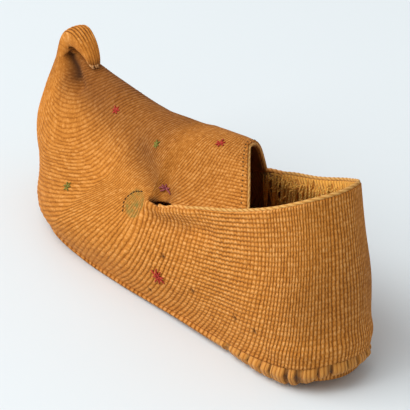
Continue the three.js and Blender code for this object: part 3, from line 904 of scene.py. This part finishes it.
def finishUpper(mesh):  # creases, then the weave's relief and the marks that the finish reads
    points = toLast(meshArray(mesh))
    folded = points.copy()
    folded[:, 1] = np.abs(points[:, 1])
    x, aside, z = folded.T
    inside = liningVertices(mesh)
    sink = np.zeros(len(points))
    for depth, width, *line in creases:
        sink += depth * nearLine(folded, line, width)
    sink += sway["depth"] * np.sin(points / sway["lengths"] + sway["starts"]).prod(1)
    # painted shade: first in the pinholes, which also sink
    paintedShade = np.zeros(len(points))
    for place in pinholes:
        paintedShade = np.maximum(paintedShade, np.exp(-(np.linalg.norm(points - place, axis=1) / pinholeWidth) ** 2))
    paintedShade[inside] = 0
    below = smoothStep(*liningDown, -meshArray(mesh, "vertex_normals", "vector")[:, 2])
    lift = np.where(inside, sink * below, -sink) + meshValues(mesh, "relief")
    moveAlongNormals(mesh, lift - pinholeDepth * paintedShade)
    moved = toLast(meshArray(mesh))
    rimZ = np.interp(x, rimPoints[:throat + 1, 0], rimPoints[:throat + 1, 2])
    nearRim = smoothStep(-rimZone["below"], 0, z - rimZ) * smoothStep(*rimZone["side"], aside)
    moved[:, 2] -= rimDrop(points) * nearRim * (x < rimZone["front"])
    mesh.vertices.foreach_set("co", toFrame(moved).ravel())
    mesh.update()
    # painted shade in the hollows and troughs, and on the lining under the flap
    for share, width, widest, *line in paintedShadePlaces:
        paintedShade = np.maximum(paintedShade, share * nearLine(points, line, width) * (aside < widest))
    paintedShade = np.maximum(paintedShade, shadeUnderFlap["share"] * inside * smoothStep(*shadeUnderFlap["x"], x))
    fromPatch = np.linalg.norm(folded - patchSpec["centre"], axis=1) / patchSpec["radius"]
    patch = (1 - smoothStep(patchSpec["fade"], 1.0, fromPatch)) * smoothStep(*patchSpec["back"], x)
    onTop = smoothStep(*topEdge, aside)
    atHook = x > hookSeam["from"]
    look = brownAndShadeLook
    # browner tone with painted shade: zones, the heel's back and the trough; the hook's strip is kept lighter
    brownerAndShade = look["least"] + zoneSum(brownAndShadeZones, points, onTop)
    heel = np.exp(-((z - look["heelZ"]) / look["heelHigh"]) ** 2) * smoothStep(*look["heelX"], x)
    brownerAndShade += look["heel"] * heel
    brownerAndShade += look["crease"] * nearLine(folded, creases[0][2:], look["creaseWidth"])
    high = hookSeam["high"] * smoothStep(*hookSeam["highZ"], z)
    brownerAndShade *= 1 - np.maximum(high, hookSeam["ahead"] * smoothStep(*hookSeam["aheadX"], x)) * atHook
    addMarks(mesh, paintedShade, patch, brownerAndShade, rowsLeadAt(points))
    fromSeam = (points - hookSeam["point"]) @ hookSeam["way"]
    seam = hookSeam["calm"] * np.exp(-(fromSeam / hookSeam["reach"]) ** 2)
    calm = meshValues(mesh, "calm") + zoneSum(calmZones, points, onTop)
    calm += (seam - smoothStep(*hookSeam["strip"], fromSeam)) * atHook
    mesh.attributes["calm"].data.foreach_set("value", np.minimum(calm, calmMost))


upper = makeUpper()


# Sole: gathered cords round the heel, rows of cord underneath
soleSpec = {"wall": 2.6, "gap": 0.3, "bed": 7, "bedGap": 0.4, "heelCentre": 28, "inset": 4, "bulgeHeel": 2,
            "bulgeFront": 0.4, "bulgeReach": 0.62, "bulgeHeight": 0.72, "roundMost": 10, "roundShare": 0.5,
            "chamfer": 0.35, "back": (0.5, 1.7), "backRound": 0.1, "backIn": 5.5,
            "drawn": (1.6, 1.0, 0.75, 0.25), "tuck": 0.7, "prowLeast": 0.2, "prowPower": 8, "step": 0.5,
            "underRows": 14, "sideRows": 16, "bedRows": 4, "cord": 3.0}
# lumps round the sole; dark gives the painted shade in the slits between them: factor, offset and most
lumpSpec = {"long": 7.8, "uneven": ((1.1, 0.41, 0.8), (0.7, 0.93, 0)), "slit": 1.1, "depth": 2.1, "reach": 82,
            "fade": 18, "upward": 1.7, "dark": (1.2, -0.15, 0.88), "brownerAndShade": 0.3}
soleLength = np.interp(soleEnd, fineStations, edgeLength)


def edgeStations(lengths):
    return np.interp(np.abs(lengths), edgeLength, fineStations) * np.where(lengths < 0, -1, 1)


def edgeLengths(end, step):  # mm along the sole's edge from the back of the heel, right below 0
    return mirrored(np.linspace(0, end, int(end / step)))


def edgePoints(stations, offset, height):  # beside the sole's edge, offset outwards
    points = footLine(stations) + outwardAt(stations) * np.asarray(offset).reshape(-1, 1)
    points[:, 2] = height
    points[np.abs(stations) >= soleEnd - 1e-6, 1] = 0
    return points


def middlePoints(stations, height):
    x = footLine(stations)[:, 0]
    return np.stack([np.maximum(soleSpec["heelCentre"], x), 0 * x, height], 1)


def bedHeight(stations):
    top = footLine(stations)[:, 2] - soleSpec["gap"]
    return np.where(np.abs(stations) < throat, np.minimum(top, soleSpec["bed"]), top)


def slitShare(lengths):  # 0 on a lump, 1 in the slits between lumps
    spec, uneven = lumpSpec, lengths
    for size, rate, start in spec["uneven"]:
        uneven = uneven + size * np.sin(lengths * rate + start)
    fromSlit = np.abs((uneven / spec["long"] + 0.5) % 1 - 0.5) * spec["long"]
    fade = 1 - smoothStep(spec["reach"] - spec["fade"], spec["reach"], np.abs(lengths))
    return np.exp(-(fromSlit / spec["slit"]) ** 2) * fade


def blendRows(first, last, rows):
    shares = np.linspace(0, 1, rows + 1)[None, :, None]
    return first[:, None] * (1 - shares) + last[:, None] * shares


def makeSole():
    spec, lump = soleSpec, lumpSpec
    lengths = edgeLengths(soleLength, spec["step"])
    stations = edgeStations(lengths)
    share = np.abs(stations) / soleEnd
    floor, bed = slopeAt("floor", stations), bedHeight(stations)
    top = footLine(stations)[:, 2] - spec["gap"]
    frontShare = np.minimum(1, share / spec["bulgeReach"])
    bulge = spec["bulgeHeel"] + (spec["bulgeFront"] - spec["bulgeHeel"]) * frontShare
    reach = np.maximum(spec["prowLeast"], 1 - share ** spec["prowPower"])
    rounding = np.minimum(spec["roundMost"], spec["roundShare"] * (top - floor))
    atBack = 1 - smoothStep(*spec["back"], np.abs(stations))
    chamfer = (spec["chamfer"] + spec["backRound"] * atBack) * rounding
    drawn = [part * spec["backIn"] * atBack for part in spec["drawn"]]  # the lower back is drawn in
    middle = middlePoints(stations, floor)
    stand = edgePoints(stations, -(spec["inset"] + rounding + drawn[0]) * reach, floor)
    side = np.stack([
        stand,
        edgePoints(stations, -(chamfer + drawn[1]) * reach, floor + chamfer),
        edgePoints(stations, (bulge / 2 - drawn[2]) * reach, floor + rounding),
        edgePoints(stations, (bulge - drawn[3]) * reach, floor + spec["bulgeHeight"] * (top - floor)),
        edgePoints(stations, -spec["tuck"] * reach, top + spec["tuck"]),
    ], 1)
    first, sideRows = spec["underRows"], spec["sideRows"]
    last = first + sideRows
    places = np.linspace(0, side.shape[1] - 1, sideRows + 1)
    rounded = np.stack([smoothLine(rib, places) for rib in side])
    rounded[..., 2] = np.maximum(rounded[..., 2], floor[:, None])
    inner = edgePoints(stations, -spec["wall"] * reach, top)
    bedEdge = edgePoints(stations, -(spec["wall"] + spec["bedGap"]) * reach, bed)
    loop = np.concatenate([blendRows(middle, stand, first)[:, :-1], rounded, inner[:, None],
                           blendRows(bedEdge, middlePoints(stations, bed), spec["bedRows"])], 1)
    rows = np.stack([lengthAlong(line) for line in loop])
    rows = (rows - rows[:, last:last + 1]) / spec["cord"]
    uv = weaveUv(closer(ribsOnWall(stations, np.zeros(1))), rows)
    relief = np.zeros(loop.shape[:2])
    weight = np.sin(np.pi * np.linspace(0, 1, sideRows + 1) ** lump["upward"]) ** 0.5
    relief[:, first:last + 1] = -lump["depth"] * slitShare(lengths)[:, None] * weight
    slots = np.zeros(loop.shape[:2], int)
    slots[np.abs(lengths) < lump["reach"], first:last] = 1
    shape = joined([gridMesh("sole", loop, uv, relief, slots)])
    piece = addPiece("sole_cords", shape, [soleCord, soleStrands], ["sole"])
    sunk = meshValues(piece.data, "relief")
    moveAlongNormals(piece.data, sunk)
    # painted shade in the slits, darker where they sink deeper
    factor, offset, most = lump["dark"]
    dark = np.clip(-sunk / lump["depth"] * factor + offset, 0, most)
    addMarks(piece.data, dark, 0 * dark, lump["brownerAndShade"] + 0 * dark, 0 * dark)
    print("sole", len(piece.data.polygons), "faces")


makeSole()


# Insole: a plaited straw mat
matSpec = {"clear": 0.8, "thick": 2.4, "edge": 0.6, "end": 0.91, "round": 0.88, "plait": 4.0, "relief": 0.35,
           "step": 1.4, "underRows": 2, "topRows": 16}
plaitLook = {**strawLook, "stops": (0.25, 0.65, 1.0), "round": 2.4, "grain": (2.0, 2.0, 4.0), "weave": 0.6,
             "strand": 0.5, "bump": 1.0}


def plaitFinish(name, look, width):
    made = Finish(name, look["rough"], look["sheen"])
    place = made.node("ShaderNodeSeparateXYZ", {0: made.node("ShaderNodeTexCoord").outputs["Object"]})
    along, cross = (made.times(place.outputs[axis], 1 / (width * mm)) for axis in (0, 1))
    squares = made.maths("ADD", made.maths("FLOOR", along), made.maths("FLOOR", cross))
    over = made.maths("FLOORED_MODULO", squares, 2.0)
    lengthways = made.times(made.hump(cross, look["round"]), over)
    crossways = made.times(made.hump(along, look["round"]), made.maths("SUBTRACT", 1.0, over))
    strand = made.times(made.fibres(along, cross, look["grain"]), look["strand"])
    tone = made.scaled(made.maths("ADD", lengthways, crossways), look["weave"], strand)
    made.paint(made.ramp(tone, look["stops"], threeTones(look)))
    made.bump(tone, look["bump"])
    return made.material


def makeInsole():
    spec = matSpec
    end = soleLength * spec["end"]
    lengths = edgeLengths(end, spec["step"])
    stations = edgeStations(lengths)
    base = bedHeight(stations) + soleSpec["gap"]
    inset = soleSpec["wall"] + spec["clear"]
    past = np.maximum(0, np.abs(lengths) / end - spec["round"]) / (1 - spec["round"])
    narrow = np.sqrt(np.maximum(0, 1 - past ** 2))

    def edge(offset, height):
        points = edgePoints(stations, np.full(len(stations), -offset), height)
        points[:, 1] *= narrow
        return points

    low, rim = edge(inset + spec["edge"], base), edge(inset, base + spec["thick"] / 2)
    high = edge(inset + spec["edge"], base + spec["thick"])
    middle = middlePoints(stations, base)
    under = blendRows(middle, low, spec["underRows"])
    over = blendRows(high, middle + (0, 0, spec["thick"]), spec["topRows"])
    loop = np.concatenate([under, rim[:, None], over], 1)
    uv = weaveUv(loop[..., 0] / spec["plait"], loop[..., 1] / spec["plait"])
    first = under.shape[1] + 1
    relief = np.zeros(loop.shape[:2])
    relief[:, first:] = spec["relief"] * np.sin(np.pi * uv[:, first:]).prod(2)
    shape = joined([gridMesh("insole", loop, uv, relief, 0)])
    mat = plaitFinish("plaited mat", plaitLook, spec["plait"])
    piece = addPiece("insole_mat", shape, [mat], ["insole"])
    moveAlongNormals(piece.data, meshValues(piece.data, "relief"))
    print("insole", len(piece.data.polygons), "faces")


makeInsole()


# Cords: borders, strands and threads
skew = (0.31, 0.17, 0.93)  # a direction that no cord starts in


def pathFrames(path):
    tangent = unit(np.gradient(path, axis=0))
    beside = [unit(np.cross(tangent[0], skew))]
    for ahead in tangent[1:]:
        last = beside[-1]
        beside.append(unit(last - ahead * (last @ ahead)))
    beside = np.array(beside)
    return beside, np.cross(tangent, beside)


def cordMesh(name, path, radius, sides, pitch, plies, depth, slots=0):  # closes to a point at both ends
    path = np.asarray(path, float)
    beside, above = pathFrames(path)
    along = lengthAlong(path) / pitch
    around = np.arange(sides + 1) / sides
    turn = 2 * np.pi * around[None, :, None]
    ways = np.cos(turn) * beside[:, None] + np.sin(turn) * above[:, None]
    ply = 1 + depth * np.cos(2 * np.pi * (plies * around[None] - along[:, None]))
    thick = (np.asarray(radius) * np.ones(len(path)))[:, None] * ply
    rings = path[:, None] + thick[..., None] * ways
    ends = [np.repeat(path[k][None, None], sides + 1, 1) for k in (0, -1)]
    points = np.concatenate([ends[0], rings, ends[1]], 0)
    uv = weaveUv(np.concatenate([along[:1], along, along[-1:]])[:, None], plies * around[None])
    return gridMesh(name, points, uv, np.zeros(points.shape[:2]), slots)


def evenPath(path, step):
    length = lengthAlong(path)
    return pointsAt(path, length, np.linspace(0, length[-1], max(3, int(length[-1] / step))))


borderSpec = {"collar": 1.8, "flap": 1.3, "start": 0.3, "sunk": 0.15, "points": 400, "step": 0.55,
              "sides": 12, "pitch": 4.2, "plies": 3, "ply": 0.08, "lipFrom": 93, "lipFade": 8,
              "lipSwell": 0.2, "dipSide": 25, "before": 0.98}


def collarPath():
    spec = borderSpec
    reach = throat - spec["start"]
    _, rim, rise, out, lean = ribEnds(np.linspace(-reach, reach, spec["points"]))
    up = rise * np.cos(lean) - out * np.sin(lean)
    inward = -rise * np.sin(lean) - out * np.cos(lean)
    path = rim + inward * upperSpec["wall"] / 2 + up * (spec["collar"] / 2 - spec["sunk"])
    path[:, 2] -= rimDrop(path) * (np.abs(path[:, 1]) > spec["dipSide"])
    return path


def flapPath():
    spec = borderSpec
    edge, before = flapSheet(np.array([1.0, spec["before"]]), sheetRows)
    along = unit(np.gradient(edge, axis=0))
    back = edge - before
    back = unit(back - along * dot(back, along))
    inward = -np.cross(along, back)
    return edge + back * (spec["flap"] / 2 - spec["sunk"]) + inward * upperSpec["wall"] / 2


def makeBorders():
    spec = borderSpec
    for name, path, slot in (("collar", collarPath(), "collar_fibre"), ("flap", flapPath(), "flap_fibre")):
        path = evenPath(path, spec["step"])
        lip = smoothStep(spec["lipFrom"] - spec["lipFade"], spec["lipFrom"], path[:, 0]) * (name == "collar")
        slots = np.pad(lip > 0.5, 1, mode="edge").astype(int)[:, None]
        radius = spec[name] / 2 * (1 + spec["lipSwell"] * lip)
        cord = cordMesh(name, path, radius, spec["sides"], spec["pitch"], spec["plies"], spec["ply"], slots)
        addPiece(name + "_border", joined([cord]), [borderTwist, lipTwist], [name + "_braid"])
    print("borders ready")


makeBorders()


# Threads: embroidered stars, stitches round the patch, and dark threads as painted shade in the flap's row of
# holes
upperFaces = [face.vertices for face in upper.data.polygons]
upperTree = BVHTree.FromPolygons([vertex.co for vertex in upper.data.vertices], upperFaces)
heartHeight = 35  # height of the middle of the shoe, from which outwards is counted
standOff = 1.5  # mm outwards from where the nearest face is looked for


def awayAt(point):
    return unit(np.asarray(point, float) - (point[0], 0, heartHeight))


def onUpper(points, lift):  # points in mm, laid on the outer face
    made = []
    for point in points:
        away = awayAt(point)
        place = upperTree.find_nearest(Vector(toFrame(point + standOff * away)))[0]
        made.append(toLast(place) + lift * away)
    return np.array(made)


threadLook = {  # dark, mid and light of each thread
    "red": ((0.22, 0.01, 0.006), (0.46, 0.03, 0.016), (0.6, 0.07, 0.04)),
    "green": ((0.09, 0.085, 0.008), (0.2, 0.18, 0.022), (0.33, 0.29, 0.055)),
    "magenta": ((0.16, 0.025, 0.03), (0.33, 0.06, 0.07), (0.42, 0.12, 0.12)),
    # brown: the patch's stitches, and painted shade in the flap's holes
    "brown": ((0.03, 0.014, 0.004), (0.08, 0.035, 0.01), (0.14, 0.07, 0.02)),
    "straw": ((0.48, 0.185, 0.02), (0.88, 0.4, 0.055), (1.0, 0.58, 0.135)),
    # a lighter straw: painted light on the lining beside the flap
    "paintedLitStraw": ((0.62, 0.25, 0.027), (1.0, 0.48, 0.07), (1.0, 0.68, 0.19)),
    "pale": ((0.36, 0.14, 0.035), (0.52, 0.23, 0.07), (0.64, 0.33, 0.13)),
    "white": ((0.4, 0.34, 0.26), (0.68, 0.6, 0.48), (0.85, 0.8, 0.7)),
}
threadSpec = {"pitch": 2.0, "plies": 2, "ply": 0.1, "blunt": 0.35}
starSpec = {"thread": 0.46, "points": 5, "sides": 6, "lift": 0.3, "seed": 5, "skew": (0.3, 0.2, 0.93),
            "turn": (-0.14, 0.14), "reach": (0.8, 1.1), "open": 0.08}
stars = [  # colour, middle, radius and arms
    ("red", (174.9, 10.5, 69.9), 2.7, 6),
    ("green", (133.6, 15.6, 72.4), 2.8, 6),
    ("red", (98.2, 3.1, 85.9), 3.0, 6),
    ("green", (177.2, 36.7, 37.1), 2.6, 6),
    ("magenta", (114.9, 23.5, 59.5), 2.0, 6),
    ("red", (100.8, 36, 23.9), 4.4, 8),
    ("green", (177.2, -36.7, 37.1), 2.6, 6),
    ("red", (100.8, -36, 23.9), 4.4, 8),
]
patchEdge = [(132.6, 34.5, 43.2), (135, 31.7, 47.9), (132, 29.3, 52.5), (126.1, 27.8, 55.2)]
dashSpec = {"spacing": 1.9, "half": 0.65, "points": 4, "lift": 0.12, "radius": 0.34, "sides": 5}


def thread(path, radius, sides):
    spec = threadSpec
    taper = np.sin(np.linspace(spec["blunt"], np.pi - spec["blunt"], len(path))) ** 0.5
    return cordMesh("thread", path, radius * taper, sides, spec["pitch"], spec["plies"], spec["ply"])


def addThreads(name, colour, meshes):
    piece = addPiece(name, joined(meshes), [twistFinish(colour + " thread", *threadLook[colour])])
    print(name, len(piece.data.polygons), "faces")


def draws(chance, spec, *keys):  # a random number from each named range, in this order
    return [chance.uniform(*spec[key]) for key in keys]


def starArms(place, radius, count, chance):
    spec = starSpec
    away = awayAt(place)
    beside = unit(np.cross(away, spec["skew"]))
    above = np.cross(away, beside)
    arms = []
    for arm in range(count):
        offTurn, reach = draws(chance, spec, "turn", "reach")
        turn = 2 * np.pi * (arm + offTurn) / count
        way = np.cos(turn) * beside + np.sin(turn) * above
        path = place + np.linspace(spec["open"], 1, spec["points"])[:, None] * (radius * reach) * way
        arms.append(thread(onUpper(path, spec["lift"]), spec["thread"], spec["sides"]))
    return arms


def makeStars():
    chance = random.Random(starSpec["seed"])
    for colour in ("red", "green", "magenta"):
        arms = []
        for starColour, *star in stars:
            if starColour == colour:
                arms += starArms(*star, chance)
        addThreads("stars_" + colour, colour, arms)


def makeStitches():
    spec = dashSpec
    edge = smoothLine(patchEdge, np.linspace(0, len(patchEdge) - 1, sheetRows))
    along = np.linspace(-spec["half"], spec["half"], spec["points"])[:, None]
    dashes = []
    for side in (1, -1):
        for place in spacedAlong(edge, spec["spacing"]):
            ahead = unit(edge[np.argmin(np.linalg.norm(edge - place, axis=1)) - 1] - place + 1e-6)
            path = (place + along * ahead) * (1, side, 1)
            dashes.append(thread(onUpper(path, spec["lift"]), spec["radius"], spec["sides"]))
    addThreads("patch_stitches", "brown", dashes)


# short brown threads in the flap's holes: painted shade
def makeFlapHoleShade():
    spec = flapHoleShade
    row = flapSheet(np.array([spec["share"]]), sheetRows)[0]
    holes = []
    for place in spacedAlong(row, spec["spacing"]):
        path = place + np.linspace(-1, 1, spec["points"])[:, None] * (spec["half"], 0, 0)
        holes.append(thread(onUpper(path, spec["sunk"]), spec["radius"], spec["sides"]))
    addThreads("flap_hole_shade", "brown", holes)


makeStars()
makeStitches()
makeFlapHoleShade()


# Straw inside, threads at the flap's rear edge, and the cut end of the hook's strip
strawSpec = {"strands": 280, "stations": (-4.3, 4.3), "top": (0.9, 1.0), "bottom": (0.2, 0.65),
             "drift": (0.15, 0.55), "radius": (0.32, 0.6), "lift": (0.4, 1.2), "points": 8, "sides": 5,
             "seed": 11, "sway": 0.04, "rate": (5, 11), "phase": (0, 6)}
tuftSpec = {"tufts": 46, "stations": (-4.2, -3.3), "heights": (0.7, 0.98), "long": (2.5, 6), "radius": 0.3,
            "wayX": (-0.7, 0.5), "wayY": (0.3, 1.0), "wayZ": (-0.9, 0.5), "points": 5, "droop": 0.03}
looseSpec = {"share": 0.99, "rows": 40, "places": [52, 56, 61, 66], "long": (4, 7), "points": 6,
             "radius": 0.26, "wayX": (-0.6, -0.2), "wayY": (-0.5, 0.1), "below": 2.2, "sway": 0.4,
             "rates": (0.9, 1.3, 0.5)}
fringeSpec = {"places": (-1.7, 3.5, 9), "x": 209.4, "z": 79.6, "wayY": (-0.25, 0.35), "fall": -0.46,
              "long": (3.6, 5.2), "points": 4, "radius": 0.6}
# strands in a lighter straw beside the flap: painted light
paintedLitStrawSpec = {"places": (-4.35, -2.3, 0.085), "top": (0.93, 0.98), "bottom": (0.4, 0.7),
              "aside": (-0.03, 0.03), "drift": (0.2, 0.7), "lift": (1.3, 2.1), "radius": (0.45, 0.65)}


def liningPoints(stations, heights, lift):  # beside the inner face of the wall
    numbers = np.arange(sheetRows + 1)
    sheet = wallSheet(stations, sheetRows)
    places = np.vstack([pointsAt(rib, numbers, [high * sheetRows]) for high, rib in zip(heights, sheet)])
    return places - outwardAt(stations) * (upperSpec["wall"] + lift)


def strawStrands(chance):
    spec = strawSpec
    strands = []
    for _ in range(spec["strands"]):
        start, drift, top, bottom = draws(chance, spec, "stations", "drift", "top", "bottom")
        rate, phase, lift, radius = draws(chance, spec, "rate", "phase", "lift", "radius")
        heights = np.linspace(top, bottom, spec["points"])
        wave = spec["sway"] * np.sin(heights * rate + phase)
        stations = np.clip(start + np.copysign(drift, start) * (top - heights) + wave, *spec["stations"])
        strands.append(thread(liningPoints(stations, heights, lift), radius, spec["sides"]))
    return strands


def strawTufts(chance):
    spec = tuftSpec
    tufts = []
    for _ in range(spec["tufts"]):
        station, height = draws(chance, spec, "stations", "heights")
        *way, length = draws(chance, spec, "wayX", "wayY", "wayZ", "long")
        base = liningPoints(np.array([station]), [height], 0)[0]
        along = np.linspace(0, length, spec["points"])[:, None]
        path = base + along * unit(np.array(way)) - (0, 0, spec["droop"]) * along ** 2
        tufts.append(thread(path, spec["radius"], strawSpec["sides"]))
    return tufts


def looseThreads(chance):  # hang from the flap's rear edge
    spec = looseSpec
    edge = flapSheet(np.array([spec["share"]]), spec["rows"])[0]
    ends = []
    for place in edge[spec["places"]]:
        length, *way = draws(chance, spec, "long", "wayX", "wayY")
        fall = np.linspace(0, length, spec["points"])[:, None]
        path = place - (0, 0, spec["below"]) + fall * unit(np.array([*way, -1.0]))
        path = path + spec["sway"] * np.sin(fall * spec["rates"])
        ends.append(thread(path, spec["radius"], strawSpec["sides"]))
    return ends


def hookFringe(chance):  # cut strands where the hook's strip comes down
    spec = fringeSpec
    fringe = []
    for beside in np.linspace(*spec["places"]):
        wayY, length = draws(chance, spec, "wayY", "long")
        along = np.linspace(0, length, spec["points"])[:, None]
        path = np.array((spec["x"], beside, spec["z"])) + along * unit(np.array([-1.0, wayY, spec["fall"]]))
        fringe.append(thread(path, spec["radius"], strawSpec["sides"]))
    return fringe


def paintedLitStraws(chance):  # single strands in front of the others, beside the flap, in a lighter straw: painted light where the flap shades the lining
    spec = paintedLitStrawSpec
    litStraws = []
    for start in np.arange(*spec["places"]):
        top, bottom, aside, drift = draws(chance, spec, "top", "bottom", "aside", "drift")
        lift, radius = draws(chance, spec, "lift", "radius")
        heights = np.linspace(top, bottom, strawSpec["points"])
        stations = start + aside - drift * (top - heights)
        litStraws.append(thread(liningPoints(stations, heights, lift), radius, strawSpec["sides"]))
    return litStraws


def makeStraw():
    chance = random.Random(strawSpec["seed"])
    addThreads("straw_strands", "straw", strawStrands(chance) + strawTufts(chance))
    addThreads("loose_threads", "white", looseThreads(chance))
    addThreads("hook_fringe", "pale", hookFringe(chance))
    addThreads("straw_strands_painted_lit", "paintedLitStraw", paintedLitStraws(chance))


makeStraw()
print("pieces ready")


# Floor, light and camera
stageLook = {"floor": (0.725, 0.78, 0.805), "floorHalf": 4, "floorRough": 0.9, "world": (0.955, 0.955, 0.96),
             "worldStrength": 0.56}
lights = [  # name, place in metres, watts, size
    ("key", (1.2, 2.4, 2.5), 113, 3.6),
    ("fill", (-0.4, 1.0, 2.1), 14, 1.2),
]
lightAim = Vector((0, 0, 0.04))
eye = toFrame((-1079.2, 832.0, 916.0))  # viewpoint fitted to the photo, 1.7 m from the slipper
cameraSpec = {"filled": 0.88, "sensor": 36, "rounds": 4, "clip": (0.01, 50)}  # filled: share of the frame


def makeStage():
    shape = bmesh.new()
    bmesh.ops.create_grid(shape, x_segments=1, y_segments=1, size=stageLook["floorHalf"])
    mesh = bpy.data.meshes.new("floor")
    shape.to_mesh(mesh)
    shape.free()
    floor = bpy.data.objects.new("floor", mesh)
    bpy.context.scene.collection.objects.link(floor)
    paper = Finish("floor paper", stageLook["floorRough"])
    paper.paint((*stageLook["floor"], 1))
    mesh.materials.append(paper.material)
    floor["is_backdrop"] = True
    world = bpy.data.worlds.new("studio")
    world.use_nodes = True
    sky = world.node_tree.nodes["Background"]
    sky.inputs["Color"].default_value = (*stageLook["world"], 1)
    sky.inputs["Strength"].default_value = stageLook["worldStrength"]
    bpy.context.scene.world = world


def addLight(name, place, power, size):
    lamp = bpy.data.lights.new(name, "AREA")
    lamp.energy, lamp.size = power, size
    light = bpy.data.objects.new(name, lamp)
    light.location = place
    light.rotation_mode = "QUATERNION"
    light.rotation_quaternion = (lightAim - Vector(place)).to_track_quat("-Z", "Y")
    bpy.context.scene.collection.objects.link(light)


def addCamera():
    spec = cameraSpec
    camera = bpy.data.objects.new("camera", bpy.data.cameras.new("camera"))
    bpy.context.scene.collection.objects.link(camera)
    bpy.context.scene.camera = camera
    points = np.vstack([meshArray(o.data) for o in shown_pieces() if o.type == "MESH"])
    aim = points.mean(0)
    for _ in range(spec["rounds"]):  # aims at the middle of the slipper's outline
        back = Vector(eye - aim).normalized()
        turn = back.to_track_quat("Z", "Y")
        right, up = turn @ Vector((1, 0, 0)), turn @ Vector((0, 1, 0))
        away = points - eye
        depth = -(away @ np.array(back))
        spread = np.stack([away @ np.array(right), away @ np.array(up)], 1) / depth[:, None]
        low, high = spread.min(0), spread.max(0)
        distance = np.linalg.norm(eye - aim)
        aim = aim + ((low + high) / 2 * distance) @ np.array([right, up])
    camera.location = eye
    camera.rotation_mode = "QUATERNION"
    camera.rotation_quaternion = turn
    camera.data.sensor_width = spec["sensor"]
    camera.data.lens = spec["sensor"] * spec["filled"] / (high - low).max()
    camera.data.clip_start, camera.data.clip_end = spec["clip"]


makeStage()
for light in lights:
    addLight(*light)
addCamera()
bpy.context.scene.view_settings.view_transform = "Standard"
print("stage ready")
